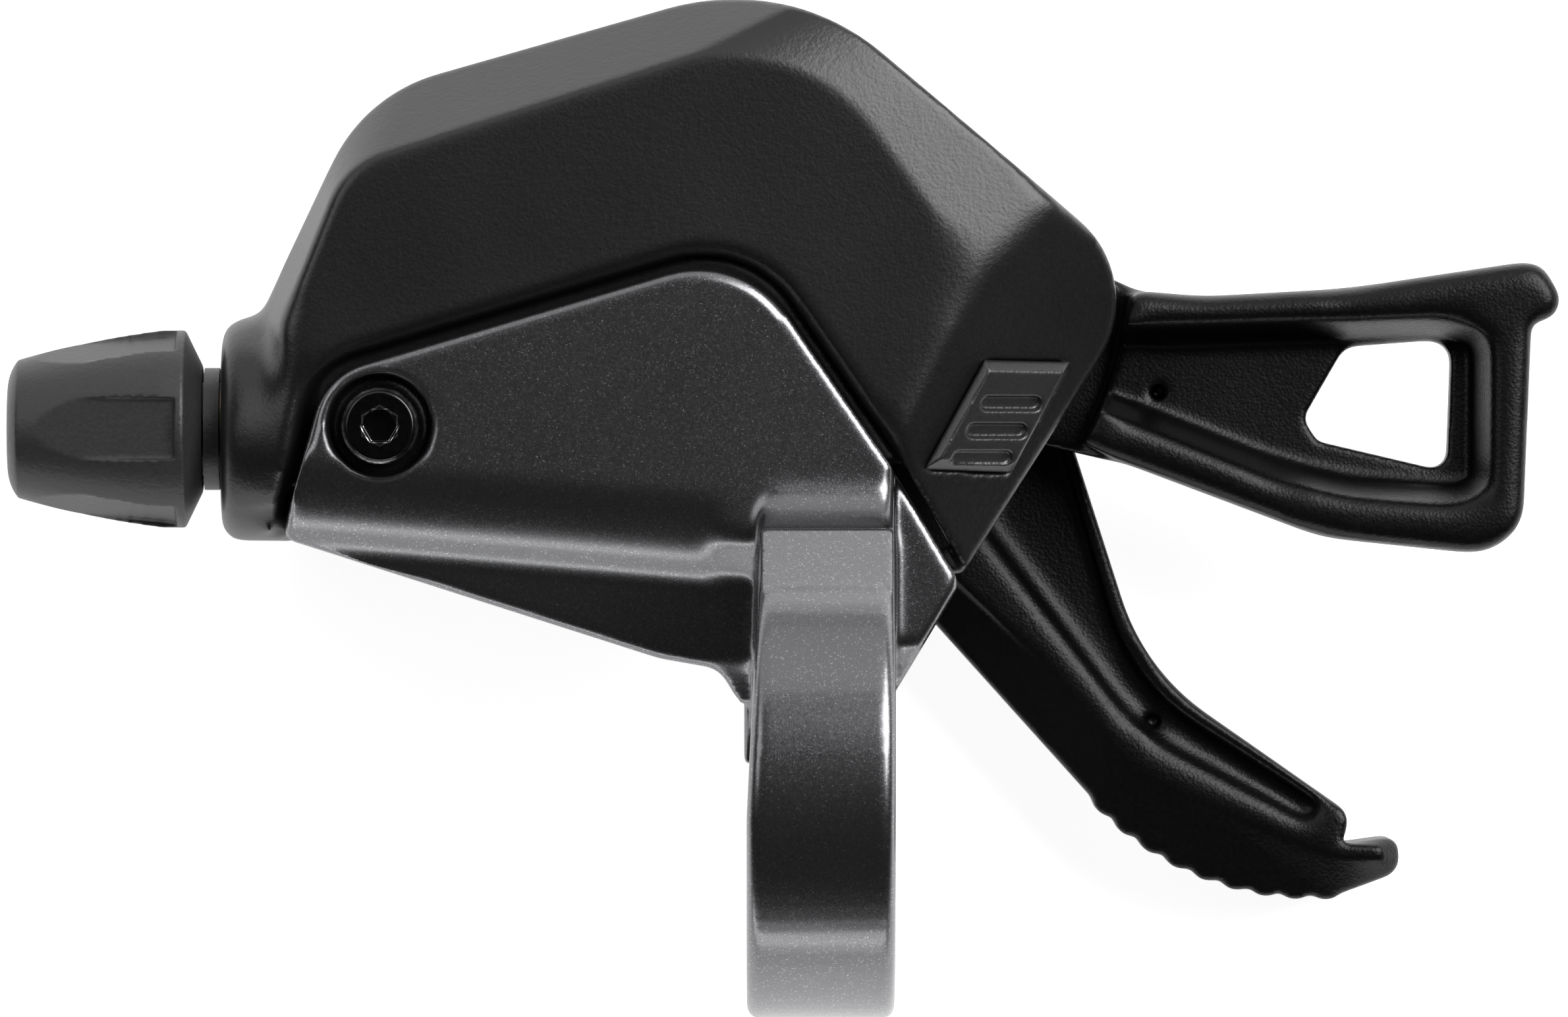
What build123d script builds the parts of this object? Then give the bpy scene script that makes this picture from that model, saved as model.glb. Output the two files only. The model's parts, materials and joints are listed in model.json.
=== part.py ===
from build123d import *
import os
from math import atan2, cos, degrees, radians, sin

os.makedirs("parts", exist_ok=True)

# Frame: origin at the centre of the clamp bore, +X along the bar to the grip,
# +Y forwards, +Z up and away from the shift unit, all in millimetres.

# Handlebar clamp
bar_radius = 11.1
clamp_wall = 3.47
band_right = 4.57
band_left = -4.53
band_taper_start = -2.0
band_neck_left = -3.67
neck_tilt = 76.0
neck_pad_rise = 1.03
bar_clearance = 0.6
clamp_slit_top = 1.0
clamp_slit = 2.2
clamp_lug_drop = 7.43
clamp_lug_length = 5.0
clamp_lug_half_width = 4.3
clamp_boss_length = 9.0
clamp_boss_half_width = 4.73
clamp_bolt_below = 3.43
clamp_bolt_radius = 2.5
clamp_bolt_head_radius = 4.1
clamp_bolt_head_height = 3.4
clamp_bolt_hex = 4.0
clamp_bolt_hex_depth = 2.4
clamp_bolt_grip = 7.5
clamp_washer_radius = 4.25
clamp_washer_thickness = 0.8
edge_round = 0.8

# Bracket plate
plate_top = -5.0
plate_thickness = 3.0
plate_left = (-33.45, 15.05)
plate_corner_left = (-30.7, 25.2)
plate_corner_top = (-4.8, 32.9)
plate_corner_right_y = 19.3
plate_radius_left = 4.4
plate_radius_top = 6.8
plate_radius_web = 1.0
flange_radius_knee = 6.0
flange_radius_end = 1.8
plate_edge_round = 0.7
flange_knee = (-10.0, 7.55)
flange_end = (-6.3, 6.9)
flange_meet_y = 3.9
fold_left = (-32.0, 16.1)
fold_right = (-6.1, 13.9)
fold_width = 2.4
fold_drop = 3.0
fold_round = 1.6
flange_fall = 1.5
flange_reach = 9.0
web_corner = (8.7, 12.2)
web_waist = (6.4, 8.3)
web_waist_radius = 3.0
tongue_thickness = 1.9
tongue_root_ends = [(-10.0, 20.5), (-7.0, 26.2)]
tongue_root_radius = 2.8

# Mechanism stack under the bracket tongue, from the top down
running_gap = 0.3
fit_clearance = 0.03
bearing_clearance = 0.06
spool_height = 5.9
spool_radius = 11.9
spool_cable_radius = 10.5
cable_radius = 0.6
groove_half = 1.4
spring_pocket_inner = 5.6
spring_pocket_outer = 8.4
spring_pocket_depth = 4.4
nipple_angle = -50.0
nipple_radius = 2.0
return_spring_radius = 7.0
return_spring_wire = 0.9
return_spring_pitch = 1.2
return_spring_height = 2.7
return_spring_seat = 0.2
ratchet_thickness = 1.6
ratchet_tip_radius = 10.2
ratchet_root_radius = 9.0
click_angle = 15.0
click_count = 24
lever_gap = 0.3
release_root_thickness = 1.6
lever_spring_wire = 0.8
main_root_thickness = 2.0
support_thickness = 1.2
nut_height = 2.4
nut_hex = 8.0
nut_washer = 0.6
nut_washer_radius = 4.8
axle_x = -4.0
axle_radius = 3.0
axle_end_radius = 2.4
bush_radius = 4.2
hub_radius = 7.0

# Pawls
pawl_pivot_radius = 12.9
pawl_eye_radius = 1.8
pawl_pin_radius = 1.0
pawl_tip_radius = 0.35
pawl_tip_lift = 0.35
pawl_face_angle = 3.0
pawl_lag = 22.0
pawl_lift = 15.0
hold_tip_angle = 211.0
feed_tip_angle = 121.0
pawl_gap = 0.1
clip_thickness = 0.3
pawl_spring_radius = 1.45
pawl_spring_wire = 0.4
lever_spring_radius = 5.6
spring_turn = 330.0
main_stroke = 30.0

# Cable and adjuster line
cable_y = 21.84
cable_z = -13.5

# Upper housing
housing_face = -5.3
housing_edge = -11.5
housing_wall = 1.6
housing_bottom = -25.8
skirt_depth = 1.2
window_gap = 0.7
window_bevel = 0.7
lip_thickness = 0.8
lip_width = 1.4
lip_foot_y = 19.8
screw_post_radius = 3.0
face_round = 0.8
outer_outline = [(-34.6, 14.9), (-34.86, 28.98), (-28.27, 42.7), (-2.07, 50.14), (20.55, 31.09), (8.9, 12.8)]
outer_radii = [0, 3.0, 10.2, 14.6, 6.6, 0]
face_outline = [(-33.3, 14.9), (-33.5, 28.0), (-29.5, 38.0), (-1.55, 46.9), (9.7, 31.6), (1.7, 14.9)]
face_radii = [0, 2.4, 5.2, 11.4, 2.0, 0]
bevel_reaches = [1.45, 1.65, 4.1, 25.8, 9.4, 2.2]
bevel_radii = [0, 3.0, 9.0, 11.0, 4.0, 0]
boss_radius = 7.0
boss_end = -37.35
boss_depth = 12.0
boss_round = 1.4
slot_margin = 6.0
slot_end_angle = -78.0
lower_opening = [(-32.9, 8.0), (-32.9, 16.9), (6.4, 15.6), (6.4, 8.0)]

# Base cap
cap_wall_end = 1.0
cap_floor = 1.6
cap_joint_gap = 0.1
cap_edge_round = 1.0
cap_arc_radius = 21.0

# Fixing screws
screw_at = (-27.3, 22.0)
screw_radius = 1.5
screw_head_radius = 2.42
screw_head_height = 1.85
screw_hex = 2.0
screw_dish_radius = 3.15
screw_dish_round = 0.3
screw_dish_depth = 1.9
screw_grip = 2.4
cap_post_at = (-25.8, 37.5)
bracket_post_at = (-21.0, 19.0)
post_radius = 2.1
cap_screw_radius = 1.1
cap_screw_head_radius = 2.0
cap_screw_head_height = 1.2
cap_screw_length = 8.0
cap_screw_grip = 6.5
cap_screw_socket = 0.9
screw_chamfer = 0.35
screw_hex_depth = 1.2

# Barrel adjuster
knob_end = -50.05
knob_dome = 0.65
knob_rim = -41.0
knob_back = -38.5
knob_end_radius = 4.31
knob_swell = (-45.7, 5.4)
knob_dome_arc = (-50.5, 3.55)
knob_cover = 1.2
knob_rim_radius = 6.16
knob_back_radius = 3.9
knob_rim_end = -39.6
knob_flat_count = 5
knob_flat_start = (-48.8, 4.65)
knob_flat_end = (-40.1, 5.56)
knob_flat_half_width = 1.95
casing_radius = 2.55
casing_seat = 8.0
stem_head_radius = 3.5
stem_shoulder = -41.4
stem_radius = 2.9
stem_end = -27.2
insert_radius = 3.7
insert_end = -30.0
collar_radius = 3.81
collar_gap = 0.1
cable_bore = 0.9

# Inner-hole cap
plug_corners = [(10.2, 26.1), (15.6, 26.0), (11.9, 19.1), (6.45, 19.3)]
plug_rise = 0.8
plug_seat = 0.7
plug_bevel = 0.7
plug_groove_first = 23.55
plug_groove_pitch = 1.68
plug_groove_count = 3
plug_groove_width = 0.9
plug_groove_length = 4.4
plug_groove_depth = 0.4
plug_stem_radius = 1.9
plug_stem_length = 3.0

# Release lever, a skeleton loop
release_top = -12.9
release_arc_radius = 23.4
release_outline = [
    (17.5, 30.7), (24.0, 30.15), (33.0, 30.65), (45.0, 32.45), (46.75, 29.2),
    (44.45, 28.35), (43.85, 13.75), (31.5, 15.05), (18.6, 19.9), (16.0, 21.2),
]
release_radii = [0, 10, 40, 1.3, 1.3, 0.7, 3.3, 8, 4, 0]
release_root_ends = [(21.0, 29.3), (20.3, 20.3)]
release_root_round = 0.9
loop_mouth = [
    (14.0, 28.2), (39.6, 28.9), (42.0, 27.6), (41.95, 18.0), (39.9, 16.95),
    (33.0, 17.5), (28.5, 18.6), (20.2, 21.9), (14.0, 24.4),
]
loop_mouth_radii = [0, 3.0, 1.2, 1.2, 1.2, 6.0, 6.0, 6.0, 0]
loop_mouth_depth = 4.6
loop_mouth_draft = 15.0
loop_hole = [(30.3, 22.5), (32.9, 27.0), (39.6, 27.5), (39.3, 19.2), (31.2, 21.1)]
loop_hole_radii = [0.8, 1.4, 1.3, 1.0, 0.6]
loop_edge_round = 0.9
release_pin_at = (21.2, 24.15)
mark_pin_radius = 0.48
mark_pin_depth = 1.5

# Main lever, a ribbed thumb paddle
arm_outline = [
    (13.5, 28.5), (20.47, 6.7), (33.4, -2.3), (33.0, -4.0),
    (20.4, 1.2), (7.4, 13.4), (1.4, 17.0), (-4.0, 26.0),
]
arm_radii = [0, 14.0, 1.2, 0.3, 12.0, 0.3, 6.0, 0]
arm_drop = 1.0
pad_outline = [
    (5.0, 12.15), (22.7, -7.5), (32.5, -7.5), (36.6, -6.0),
    (36.4, -3.75), (33.2, -4.2), (20.6, 1.4), (9.6, 15.4),
]
pad_radii = [0.6, 18.5, 3.0, 1.3, 0.8, 0.3, 12.0, 0.6]
pad_crest = [
    (8.7, 14.7), (20.1, 0.4), (32.6, -5.0), (35.4, -5.2),
    (35.3, -4.4), (33.2, -4.2), (20.6, 1.4), (9.6, 15.4),
]
pad_crest_radii = [0.2, 12.0, 2.0, 0.2, 0.2, 0.2, 12.0, 0.2]
pad_height = 9.6
pad_slope = 1.4
pad_foot = 1.0
arm_recess = [(9.9, 16.2), (20.2, 2.75), (30.9, -2.9), (31.6, -1.75), (19.6, 5.9), (14.9, 22.0)]
arm_recess_radii = [0.6, 13.0, 0.5, 0.5, 13.0, 0.6]
arm_recess_depth = 1.3
arm_pin_at = (21.0, 3.5)
arm_pin_depth = 0.8
rib_count = 9
rib_radius = 1.2
rib_rise = 0.28
rib_first = 0.48
rib_last = 0.875

# Levels worked out from the stack
clamp_radius = bar_radius + clamp_wall
clamp_lug_depth = clamp_radius + clamp_lug_drop
clamp_bolt_drop = clamp_radius + clamp_bolt_below
neck_pad_top = clamp_radius + neck_pad_rise
plate_bottom = plate_top - plate_thickness
tongue_top = plate_bottom - lip_thickness - running_gap
tongue_bottom = tongue_top - tongue_thickness
spool_top = tongue_bottom - running_gap
spool_bottom = spool_top - spool_height
return_spring_base = spool_top - spring_pocket_depth + return_spring_wire / 2 + return_spring_seat
ratchet_bottom = spool_bottom - ratchet_thickness
release_root_top = ratchet_bottom - lever_gap
release_root_bottom = release_root_top - release_root_thickness
release_spring_z = release_root_bottom - lever_gap - lever_spring_wire / 2
main_root_top = release_spring_z - lever_spring_wire / 2 - lever_gap
main_root_bottom = main_root_top - main_root_thickness
main_spring_z = main_root_bottom - lever_gap - lever_spring_wire / 2
support_top = main_spring_z - lever_spring_wire / 2 - lever_gap
support_bottom = support_top - support_thickness
nut_bottom = support_bottom - nut_height
cap_floor_top = nut_bottom - running_gap
cap_bottom = cap_floor_top - cap_floor
axle_at = (axle_x, cable_y + spool_cable_radius)
lever_heel_angle = degrees(atan2(arm_outline[0][1] - axle_at[1], arm_outline[0][0] - axle_at[0]))
slot_start_angle = lever_heel_angle + main_stroke + slot_margin

# How a cylinder sits on its place: standing on it or hanging below it
STAND = (Align.CENTER, Align.CENTER, Align.MIN)
HANG = (Align.CENTER, Align.CENTER, Align.MAX)


def around(centre, radius, angle):
    """Point at a radius and angle in degrees about a centre."""
    return (centre[0] + radius * cos(radians(angle)), centre[1] + radius * sin(radians(angle)))


def spread(points, reaches):
    """Corner points of an outline, each side moved outwards by its own reach; the points run clockwise."""
    moved = []
    for index, here in enumerate(points):
        corner = Vector(*here)
        way_in = (corner - Vector(*points[index - 1])).normalized()
        way_out = (Vector(*points[(index + 1) % len(points)]) - corner).normalized()
        out_in = Vector(-way_in.Y, way_in.X)
        out_out = Vector(-way_out.Y, way_out.X)
        facing = out_in.dot(out_out)
        part_in = (reaches[index - 1] - facing * reaches[index]) / (1 - facing**2)
        part_out = (reaches[index] - facing * reaches[index - 1]) / (1 - facing**2)
        shift = out_in * part_in + out_out * part_out
        moved.append((corner.X + shift.X, corner.Y + shift.Y))
    return moved


def inset(points, distance):
    """Corner points of an outline with all its sides moved inwards by one distance."""
    return spread(points, [-distance] * len(points))


def shape(points, radii):
    """Face of a closed outline with rounded corners, inside a sketch."""
    with BuildLine() as edge:
        FilletPolyline(*points, radius=radii, close=True)
    make_face(edge.edges())


hold_pin_at = around(axle_at, pawl_pivot_radius, hold_tip_angle - pawl_lag)
feed_pin_at = around(axle_at, pawl_pivot_radius, feed_tip_angle - pawl_lag)


# Clamp band with its neck, boss and lug, joined to the bracket below
neck_start = (clamp_radius * sin(radians(neck_tilt)), clamp_radius * cos(radians(neck_tilt)))
neck_run = (neck_pad_top - neck_start[0]) / cos(radians(neck_tilt))
neck_end = (neck_pad_top, neck_start[1] - neck_run * sin(radians(neck_tilt)))
cove_radius = (neck_end[1] - plate_top) / (1 - cos(radians(neck_tilt)))
cove_end = (neck_end[0] + cove_radius * sin(radians(neck_tilt)), plate_top)
taper_reach = cove_end[0] + edge_round
with BuildPart() as band:
    with BuildSketch(Plane.YZ.offset(band_left)):
        Circle(clamp_radius)
        with BuildLine():
            Line(neck_start, neck_end)
            JernArc(neck_end, (cos(radians(neck_tilt)), -sin(radians(neck_tilt))), cove_radius, neck_tilt)
            Polyline(
                cove_end,
                (cove_end[0], plate_bottom),
                (bar_radius, plate_bottom),
                (bar_radius, 0),
                neck_start,
            )
        make_face()
    extrude(amount=band_right - band_left)
    with BuildSketch(Plane.XY):
        with BuildLine():
            Polyline(
                (band_left, band_taper_start),
                (band_neck_left, neck_pad_top),
                (band_neck_left, taper_reach),
                (band_left - edge_round, taper_reach),
                (band_left - edge_round, band_taper_start),
                close=True,
            )
        make_face()
    extrude(amount=clamp_radius * 2, both=True, mode=Mode.SUBTRACT)
    band_sides = band.faces().filter_by(lambda f: abs(f.normal_at().X) > 0.9).edges()
    fillet(band_sides.filter_by(lambda e: (e @ 0.5).Z > neck_end[1] or (e @ 0.5).Y < 0), edge_round)

# Bracket: folded plate, hidden tongue, right web and clamp
flange_top = plate_top - fold_drop
flange_bottom = flange_top - plate_thickness
fold_run = Vector(fold_right[0] - fold_left[0], fold_right[1] - fold_left[1], 0)
fold_way = fold_run.normalized()
fold_middle = ((fold_left[0] + fold_right[0]) / 2, (fold_left[1] + fold_right[1]) / 2, 0)
fold_plane = Plane(origin=fold_middle, x_dir=(-fold_way.Y, fold_way.X, 0), z_dir=fold_way)
plate_reach = fold_run.length
with BuildPart() as bracket:
    with BuildSketch(fold_plane):
        with BuildLine():
            FilletPolyline(
                (plate_reach, plate_top),
                (fold_width / 2, plate_top),
                (-fold_width / 2, flange_top),
                (-flange_reach, flange_top - flange_fall),
                (-flange_reach, flange_bottom),
                (fold_width / 4, flange_bottom),
                (fold_width * 3 / 4, plate_bottom),
                (plate_reach, plate_bottom),
                radius=[0, fold_round, fold_round, 0, 0, 0, 0, 0],
                close=True,
            )
        make_face()
    extrude(amount=plate_reach, both=True)
    with BuildSketch(Plane.XY.offset(flange_bottom)):
        with BuildLine():
            FilletPolyline(
                plate_left,
                plate_corner_left,
                plate_corner_top,
                (band_right, plate_corner_right_y),
                (band_right, flange_meet_y),
                (band_left, flange_meet_y),
                flange_end,
                flange_knee,
                radius=[
                    edge_round,
                    plate_radius_left,
                    plate_radius_top,
                    plate_radius_web,
                    0,
                    0,
                    flange_radius_end,
                    flange_radius_knee,
                ],
                close=True,
            )
        make_face()
    extrude(amount=plate_top - flange_bottom, mode=Mode.INTERSECT)
    plate_rim = bracket.faces().sort_by(Axis.Z)[-1].edges()
    fillet(plate_rim.filter_by(lambda e: e.center().Y > plate_corner_right_y), plate_edge_round)

with BuildPart() as web:
    with BuildSketch(Plane.XY.offset(flange_bottom)):
        shape(
            [
                (0, plate_corner_right_y),
                (band_right, plate_corner_right_y),
                web_corner,
                web_waist,
                (band_right - edge_round, flange_meet_y),
                (0, flange_meet_y),
            ],
            [0, 0, edge_round, web_waist_radius, 0, 0],
        )
    extrude(amount=plate_thickness)
    web_rim = web.faces().sort_by(Axis.Z)[-1].edges()
    fillet(web_rim.filter_by(lambda e: e.center().X > band_right + edge_round / 2), plate_edge_round)

with BuildPart() as clamp_ears:
    with BuildSketch(Plane.YZ):
        with Locations((clamp_slit_top, -bar_radius)):
            Rectangle(clamp_boss_length, clamp_lug_depth - bar_radius, align=(Align.MIN, Align.MAX))
    extrude(amount=clamp_boss_half_width, both=True)
    with BuildSketch(Plane.YZ):
        with Locations((clamp_slit_top - clamp_slit, -bar_radius)):
            Rectangle(clamp_lug_length, clamp_lug_depth - bar_radius, align=(Align.MAX, Align.MAX))
    extrude(amount=clamp_lug_half_width, both=True)
    chamfer(clamp_ears.edges().group_by(Axis.Z)[0].filter_by(Axis.X), edge_round)

with BuildPart() as bracket_casting:
    add(bracket.part)
    add(web.part)
    with BuildSketch(Plane.YZ):
        Circle(bar_radius + bar_clearance)
    extrude(amount=plate_reach * 2, both=True, mode=Mode.SUBTRACT)
    with BuildSketch(Plane.XY.offset(tongue_bottom)):
        with Locations(axle_at):
            Circle(hub_radius)
        with Locations(hold_pin_at):
            Circle(pawl_eye_radius + pawl_pin_radius)
        with Locations(*tongue_root_ends):
            Circle(tongue_root_radius)
        make_hull()
    extrude(amount=tongue_thickness)
    with BuildSketch(Plane.XY.offset(tongue_bottom)):
        with Locations(*tongue_root_ends):
            Circle(tongue_root_radius)
        make_hull()
    extrude(amount=plate_bottom - tongue_bottom)
    with BuildSketch(Plane.XY.offset(cap_floor_top)):
        with Locations(bracket_post_at):
            Circle(post_radius)
    extrude(amount=plate_bottom - cap_floor_top)
    add(band.part)
    add(clamp_ears.part)
    with BuildSketch(Plane.YZ):
        Circle(bar_radius)
        with Locations((clamp_slit_top, -bar_radius + clamp_wall)):
            Rectangle(clamp_slit, clamp_lug_depth, align=(Align.MAX, Align.MAX))
    extrude(amount=plate_reach, both=True, mode=Mode.SUBTRACT)
    with BuildSketch(Plane.XZ):
        with Locations((0, -clamp_bolt_drop)):
            Circle(clamp_bolt_radius + bearing_clearance)
    extrude(amount=clamp_lug_depth, both=True, mode=Mode.SUBTRACT)
    with Locations((*screw_at, plate_top)):
        CounterBoreHole(
            screw_radius + bearing_clearance,
            screw_dish_radius,
            screw_dish_depth,
            plate_thickness,
        )
    circles = bracket_casting.edges().filter_by(GeomType.CIRCLE)
    dish_rims = circles.filter_by(lambda e: abs(e.radius - screw_dish_radius) < fit_clearance)
    fillet(dish_rims.sort_by(Axis.Z)[-1], screw_dish_round)
    with Locations((*axle_at, tongue_bottom)):
        Cylinder(axle_end_radius + fit_clearance, tongue_thickness, align=STAND, mode=Mode.SUBTRACT)
    with Locations((*hold_pin_at, tongue_bottom)):
        Cylinder(pawl_pin_radius + fit_clearance, tongue_thickness, align=STAND, mode=Mode.SUBTRACT)
    with Locations((*bracket_post_at, cap_floor_top)):
        Cylinder(cap_screw_radius + fit_clearance, cap_screw_length, align=STAND, mode=Mode.SUBTRACT)
bracket_casting.part.label = "bracket"
export_step(bracket_casting.part, "parts/bracket.step")

# Inner-hole cap: ridged plug on the right-lower facet
bevel_foot = spread(face_outline, bevel_reaches)
ridge_point = Vector(*face_outline[4], housing_face)
ridge_way = Vector(*face_outline[5], housing_face) - ridge_point
facet_normal = ridge_way.cross(Vector(*bevel_foot[5], housing_edge) - ridge_point).normalized()
plug_middle = sum((Vector(*corner) for corner in plug_corners), Vector(0, 0)) / len(plug_corners)
plug_level = housing_face - (
    (plug_middle.X - ridge_point.X) * facet_normal.X + (plug_middle.Y - ridge_point.Y) * facet_normal.Y
) / facet_normal.Z
across = Vector(facet_normal.Z, 0, -facet_normal.X)
facet = Plane(origin=(plug_middle.X, plug_middle.Y, plug_level), x_dir=across, z_dir=facet_normal)
plug_slope = (plug_corners[0][0] - plug_corners[3][0]) / (plug_corners[0][1] - plug_corners[3][1])
with BuildPart() as inner_hole_cap:
    with BuildSketch(Plane.XY.offset(housing_bottom)):
        with BuildLine():
            Polyline(*plug_corners, close=True)
        make_face()
    extrude(amount=-housing_bottom)
    with BuildSketch(facet.offset(-plug_seat)):
        Rectangle(plate_reach, plate_reach)
    extrude(amount=plug_seat + plug_rise, mode=Mode.INTERSECT)
    plug_faces = inner_hole_cap.faces().filter_by(facet)
    plug_edges = plug_faces.sort_by(Axis(facet.origin, facet.z_dir))[-1].edges()
    chamfer(plug_edges.sort_by(Axis.X)[:-1], plug_bevel)
    for index in range(plug_groove_count):
        groove_y = plug_groove_first - index * plug_groove_pitch
        groove_x = plug_middle.X + (groove_y - plug_middle.Y) * plug_slope
        groove_at = facet.to_local_coords(Vector(groove_x, groove_y, plug_level))
        with BuildSketch(facet.offset(plug_rise)):
            with Locations((groove_at.X, groove_at.Y)):
                SlotOverall(plug_groove_length, plug_groove_width)
        extrude(amount=-plug_groove_depth, mode=Mode.SUBTRACT)
    with BuildSketch(facet.offset(-plug_seat)):
        Circle(plug_stem_radius)
    extrude(amount=-plug_stem_length)
inner_hole_cap.part.label = "inner_hole_cap"
export_step(inner_hole_cap.part, "parts/inner_hole_cap.step")

with BuildPart() as plug_seat_form:
    with BuildSketch(Plane.XY.offset(housing_bottom)):
        with BuildLine():
            Polyline(*plug_corners, close=True)
        make_face()
    extrude(amount=-housing_bottom)
    with BuildSketch(facet.offset(-plug_seat)):
        Rectangle(plate_reach, plate_reach)
    extrude(amount=plug_seat + plug_rise, mode=Mode.INTERSECT)
    with BuildSketch(facet.offset(-plug_seat)):
        Circle(plug_stem_radius + fit_clearance)
    extrude(amount=-plug_stem_length)

# Upper housing: bevelled moulded cover with the adjuster boss and the lever slot
inner_outer = inset(outer_outline, housing_wall)
inner_face = inset(face_outline, housing_wall)
inner_foot = inset(bevel_foot, housing_wall)
inner_outer_radii = [max(radius - housing_wall, 0) for radius in outer_radii]
inner_face_radii = [max(radius - housing_wall, 0) for radius in face_radii]
inner_foot_radii = [max(radius - housing_wall, 0) for radius in bevel_radii]
window_outline = inset(
    [
        (plate_left[0], 0),
        plate_left,
        plate_corner_left,
        plate_corner_top,
        (band_right, plate_corner_right_y),
        web_corner,
        (web_corner[0], 0),
    ],
    -window_gap,
)
flange_window = [
    window_outline[0],
    (window_outline[1][0], fold_left[1] + fold_width * 3 / 4 + window_gap),
    window_outline[4],
    window_outline[5],
    window_outline[6],
]
lip_corners = [
    (plate_left[0], lip_foot_y),
    plate_corner_left,
    plate_corner_top,
    (band_right, plate_corner_right_y),
]
lip_outer = inset(lip_corners, -window_gap - housing_wall)
lip_inner = inset([(plate_left[0], 0), *lip_corners[1:], (band_right, 0)], lip_width)
slot_corners = [axle_at] + [
    around(axle_at, plate_reach * 2, angle)
    for angle in (slot_start_angle, (slot_start_angle + slot_end_angle) / 2, slot_end_angle)
]
with BuildPart() as cover_core:
    with BuildSketch(Plane.XY.offset(housing_edge)):
        shape(inner_foot, inner_foot_radii)
    with BuildSketch(Plane.XY.offset(housing_face - housing_wall)):
        shape(inner_face, inner_face_radii)
    loft(ruled=True)
    with BuildSketch(Plane.XY.offset(housing_edge)):
        shape(inner_outer, inner_outer_radii)
    extrude(amount=housing_face - housing_edge, mode=Mode.INTERSECT)
    with BuildSketch(Plane.XY.offset(housing_bottom)):
        shape(inner_outer, inner_outer_radii)
    extrude(amount=housing_edge - housing_bottom)

with BuildPart() as cover_form:
    with BuildSketch(Plane.XY.offset(housing_edge)):
        shape(bevel_foot, bevel_radii)
    with BuildSketch(Plane.XY.offset(housing_face)):
        shape(face_outline, face_radii)
    loft(ruled=True)
    face_rim = cover_form.faces().sort_by(Axis.Z)[-1].edges()
    fillet(face_rim.filter_by(lambda e: e.center().Y > face_outline[0][1] + face_round), face_round)
    with BuildSketch(Plane.XY.offset(housing_edge)):
        shape(outer_outline, outer_radii)
    extrude(amount=housing_face - housing_edge, mode=Mode.INTERSECT)
    with BuildSketch(Plane.XY.offset(housing_bottom)):
        shape(outer_outline, outer_radii)
    extrude(amount=housing_edge - housing_bottom)

with BuildPart() as window_lip:
    with BuildSketch(Plane.XY.offset(plate_bottom - lip_thickness)):
        shape(lip_outer, [0, plate_radius_left, plate_radius_top, 0])
    extrude(amount=housing_face - housing_wall / 2 - plate_bottom + lip_thickness)
    add(cover_form.part, mode=Mode.INTERSECT)

with BuildPart() as upper_housing:
    add(cover_form.part)
    with BuildSketch(Plane.YZ.offset(boss_end)):
        with Locations((cable_y, cable_z)):
            Circle(boss_radius)
    extrude(amount=boss_depth)
    fillet(upper_housing.faces().sort_by(Axis.X)[0].edges(), boss_round)
    add(cover_core.part, mode=Mode.SUBTRACT)
    with BuildSketch(Plane.YZ.offset(outer_outline[1][0])):
        with Locations((cable_y, cable_z)):
            Circle(boss_radius)
    extrude(amount=boss_end + boss_depth - outer_outline[1][0])
    add(window_lip.part)
    with BuildSketch(Plane.XY.offset(plate_bottom)):
        shape(window_outline, [0, 0, plate_radius_left, plate_radius_top, edge_round, 0, 0])
    extrude(amount=plate_thickness, mode=Mode.SUBTRACT)
    with BuildSketch(Plane.XY.offset(housing_face - window_bevel)):
        shape(window_outline, [0, 0, plate_radius_left, plate_radius_top, edge_round, 0, 0])
    extrude(amount=window_bevel, taper=-45, mode=Mode.SUBTRACT)
    with BuildSketch(Plane.XY.offset(plate_bottom - lip_thickness)):
        shape(lip_inner, [0, plate_radius_left - lip_width, plate_radius_top - lip_width, 0, 0])
    extrude(amount=lip_thickness, mode=Mode.SUBTRACT)
    with BuildSketch(Plane.XY.offset(flange_bottom - running_gap)):
        shape(flange_window, [0, 0, 0, 0, 0])
    extrude(amount=plate_top - flange_bottom, mode=Mode.SUBTRACT)
    with BuildSketch(Plane.XY.offset(housing_bottom)):
        with BuildLine():
            Polyline(*lower_opening, close=True)
        make_face()
    extrude(amount=housing_face - housing_bottom, mode=Mode.SUBTRACT)
    with BuildSketch(Plane.XY.offset(housing_bottom)):
        with BuildLine():
            Polyline(*slot_corners, close=True)
        make_face()
    extrude(amount=housing_edge - skirt_depth - housing_bottom, mode=Mode.SUBTRACT)
    with BuildSketch(Plane.XY.offset(cap_floor_top)):
        with Locations(cap_post_at):
            Circle(post_radius)
    extrude(amount=housing_face - housing_wall - cap_floor_top)
    with BuildSketch(Plane.XY.offset(cable_z)):
        with Locations(screw_at):
            Circle(screw_post_radius)
    extrude(amount=plate_bottom - cable_z)
    with Locations((*cap_post_at, cap_floor_top)):
        Cylinder(cap_screw_radius + fit_clearance, cap_screw_length, align=STAND, mode=Mode.SUBTRACT)
    with Locations((*screw_at, plate_bottom)):
        Cylinder(screw_radius + fit_clearance, screw_grip, align=HANG, mode=Mode.SUBTRACT)
    with BuildSketch(Plane.YZ.offset(boss_end)):
        with Locations((cable_y, cable_z)):
            Circle(insert_radius + fit_clearance)
    extrude(amount=insert_end - boss_end, mode=Mode.SUBTRACT)
    with BuildSketch(Plane.YZ.offset(boss_end)):
        with Locations((cable_y, cable_z)):
            Circle(stem_radius + running_gap)
    extrude(amount=boss_depth, mode=Mode.SUBTRACT)
    add(plug_seat_form.part, mode=Mode.SUBTRACT)
upper_housing.part.label = "upper_housing"
export_step(upper_housing.part, "parts/upper_housing.step")

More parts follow.
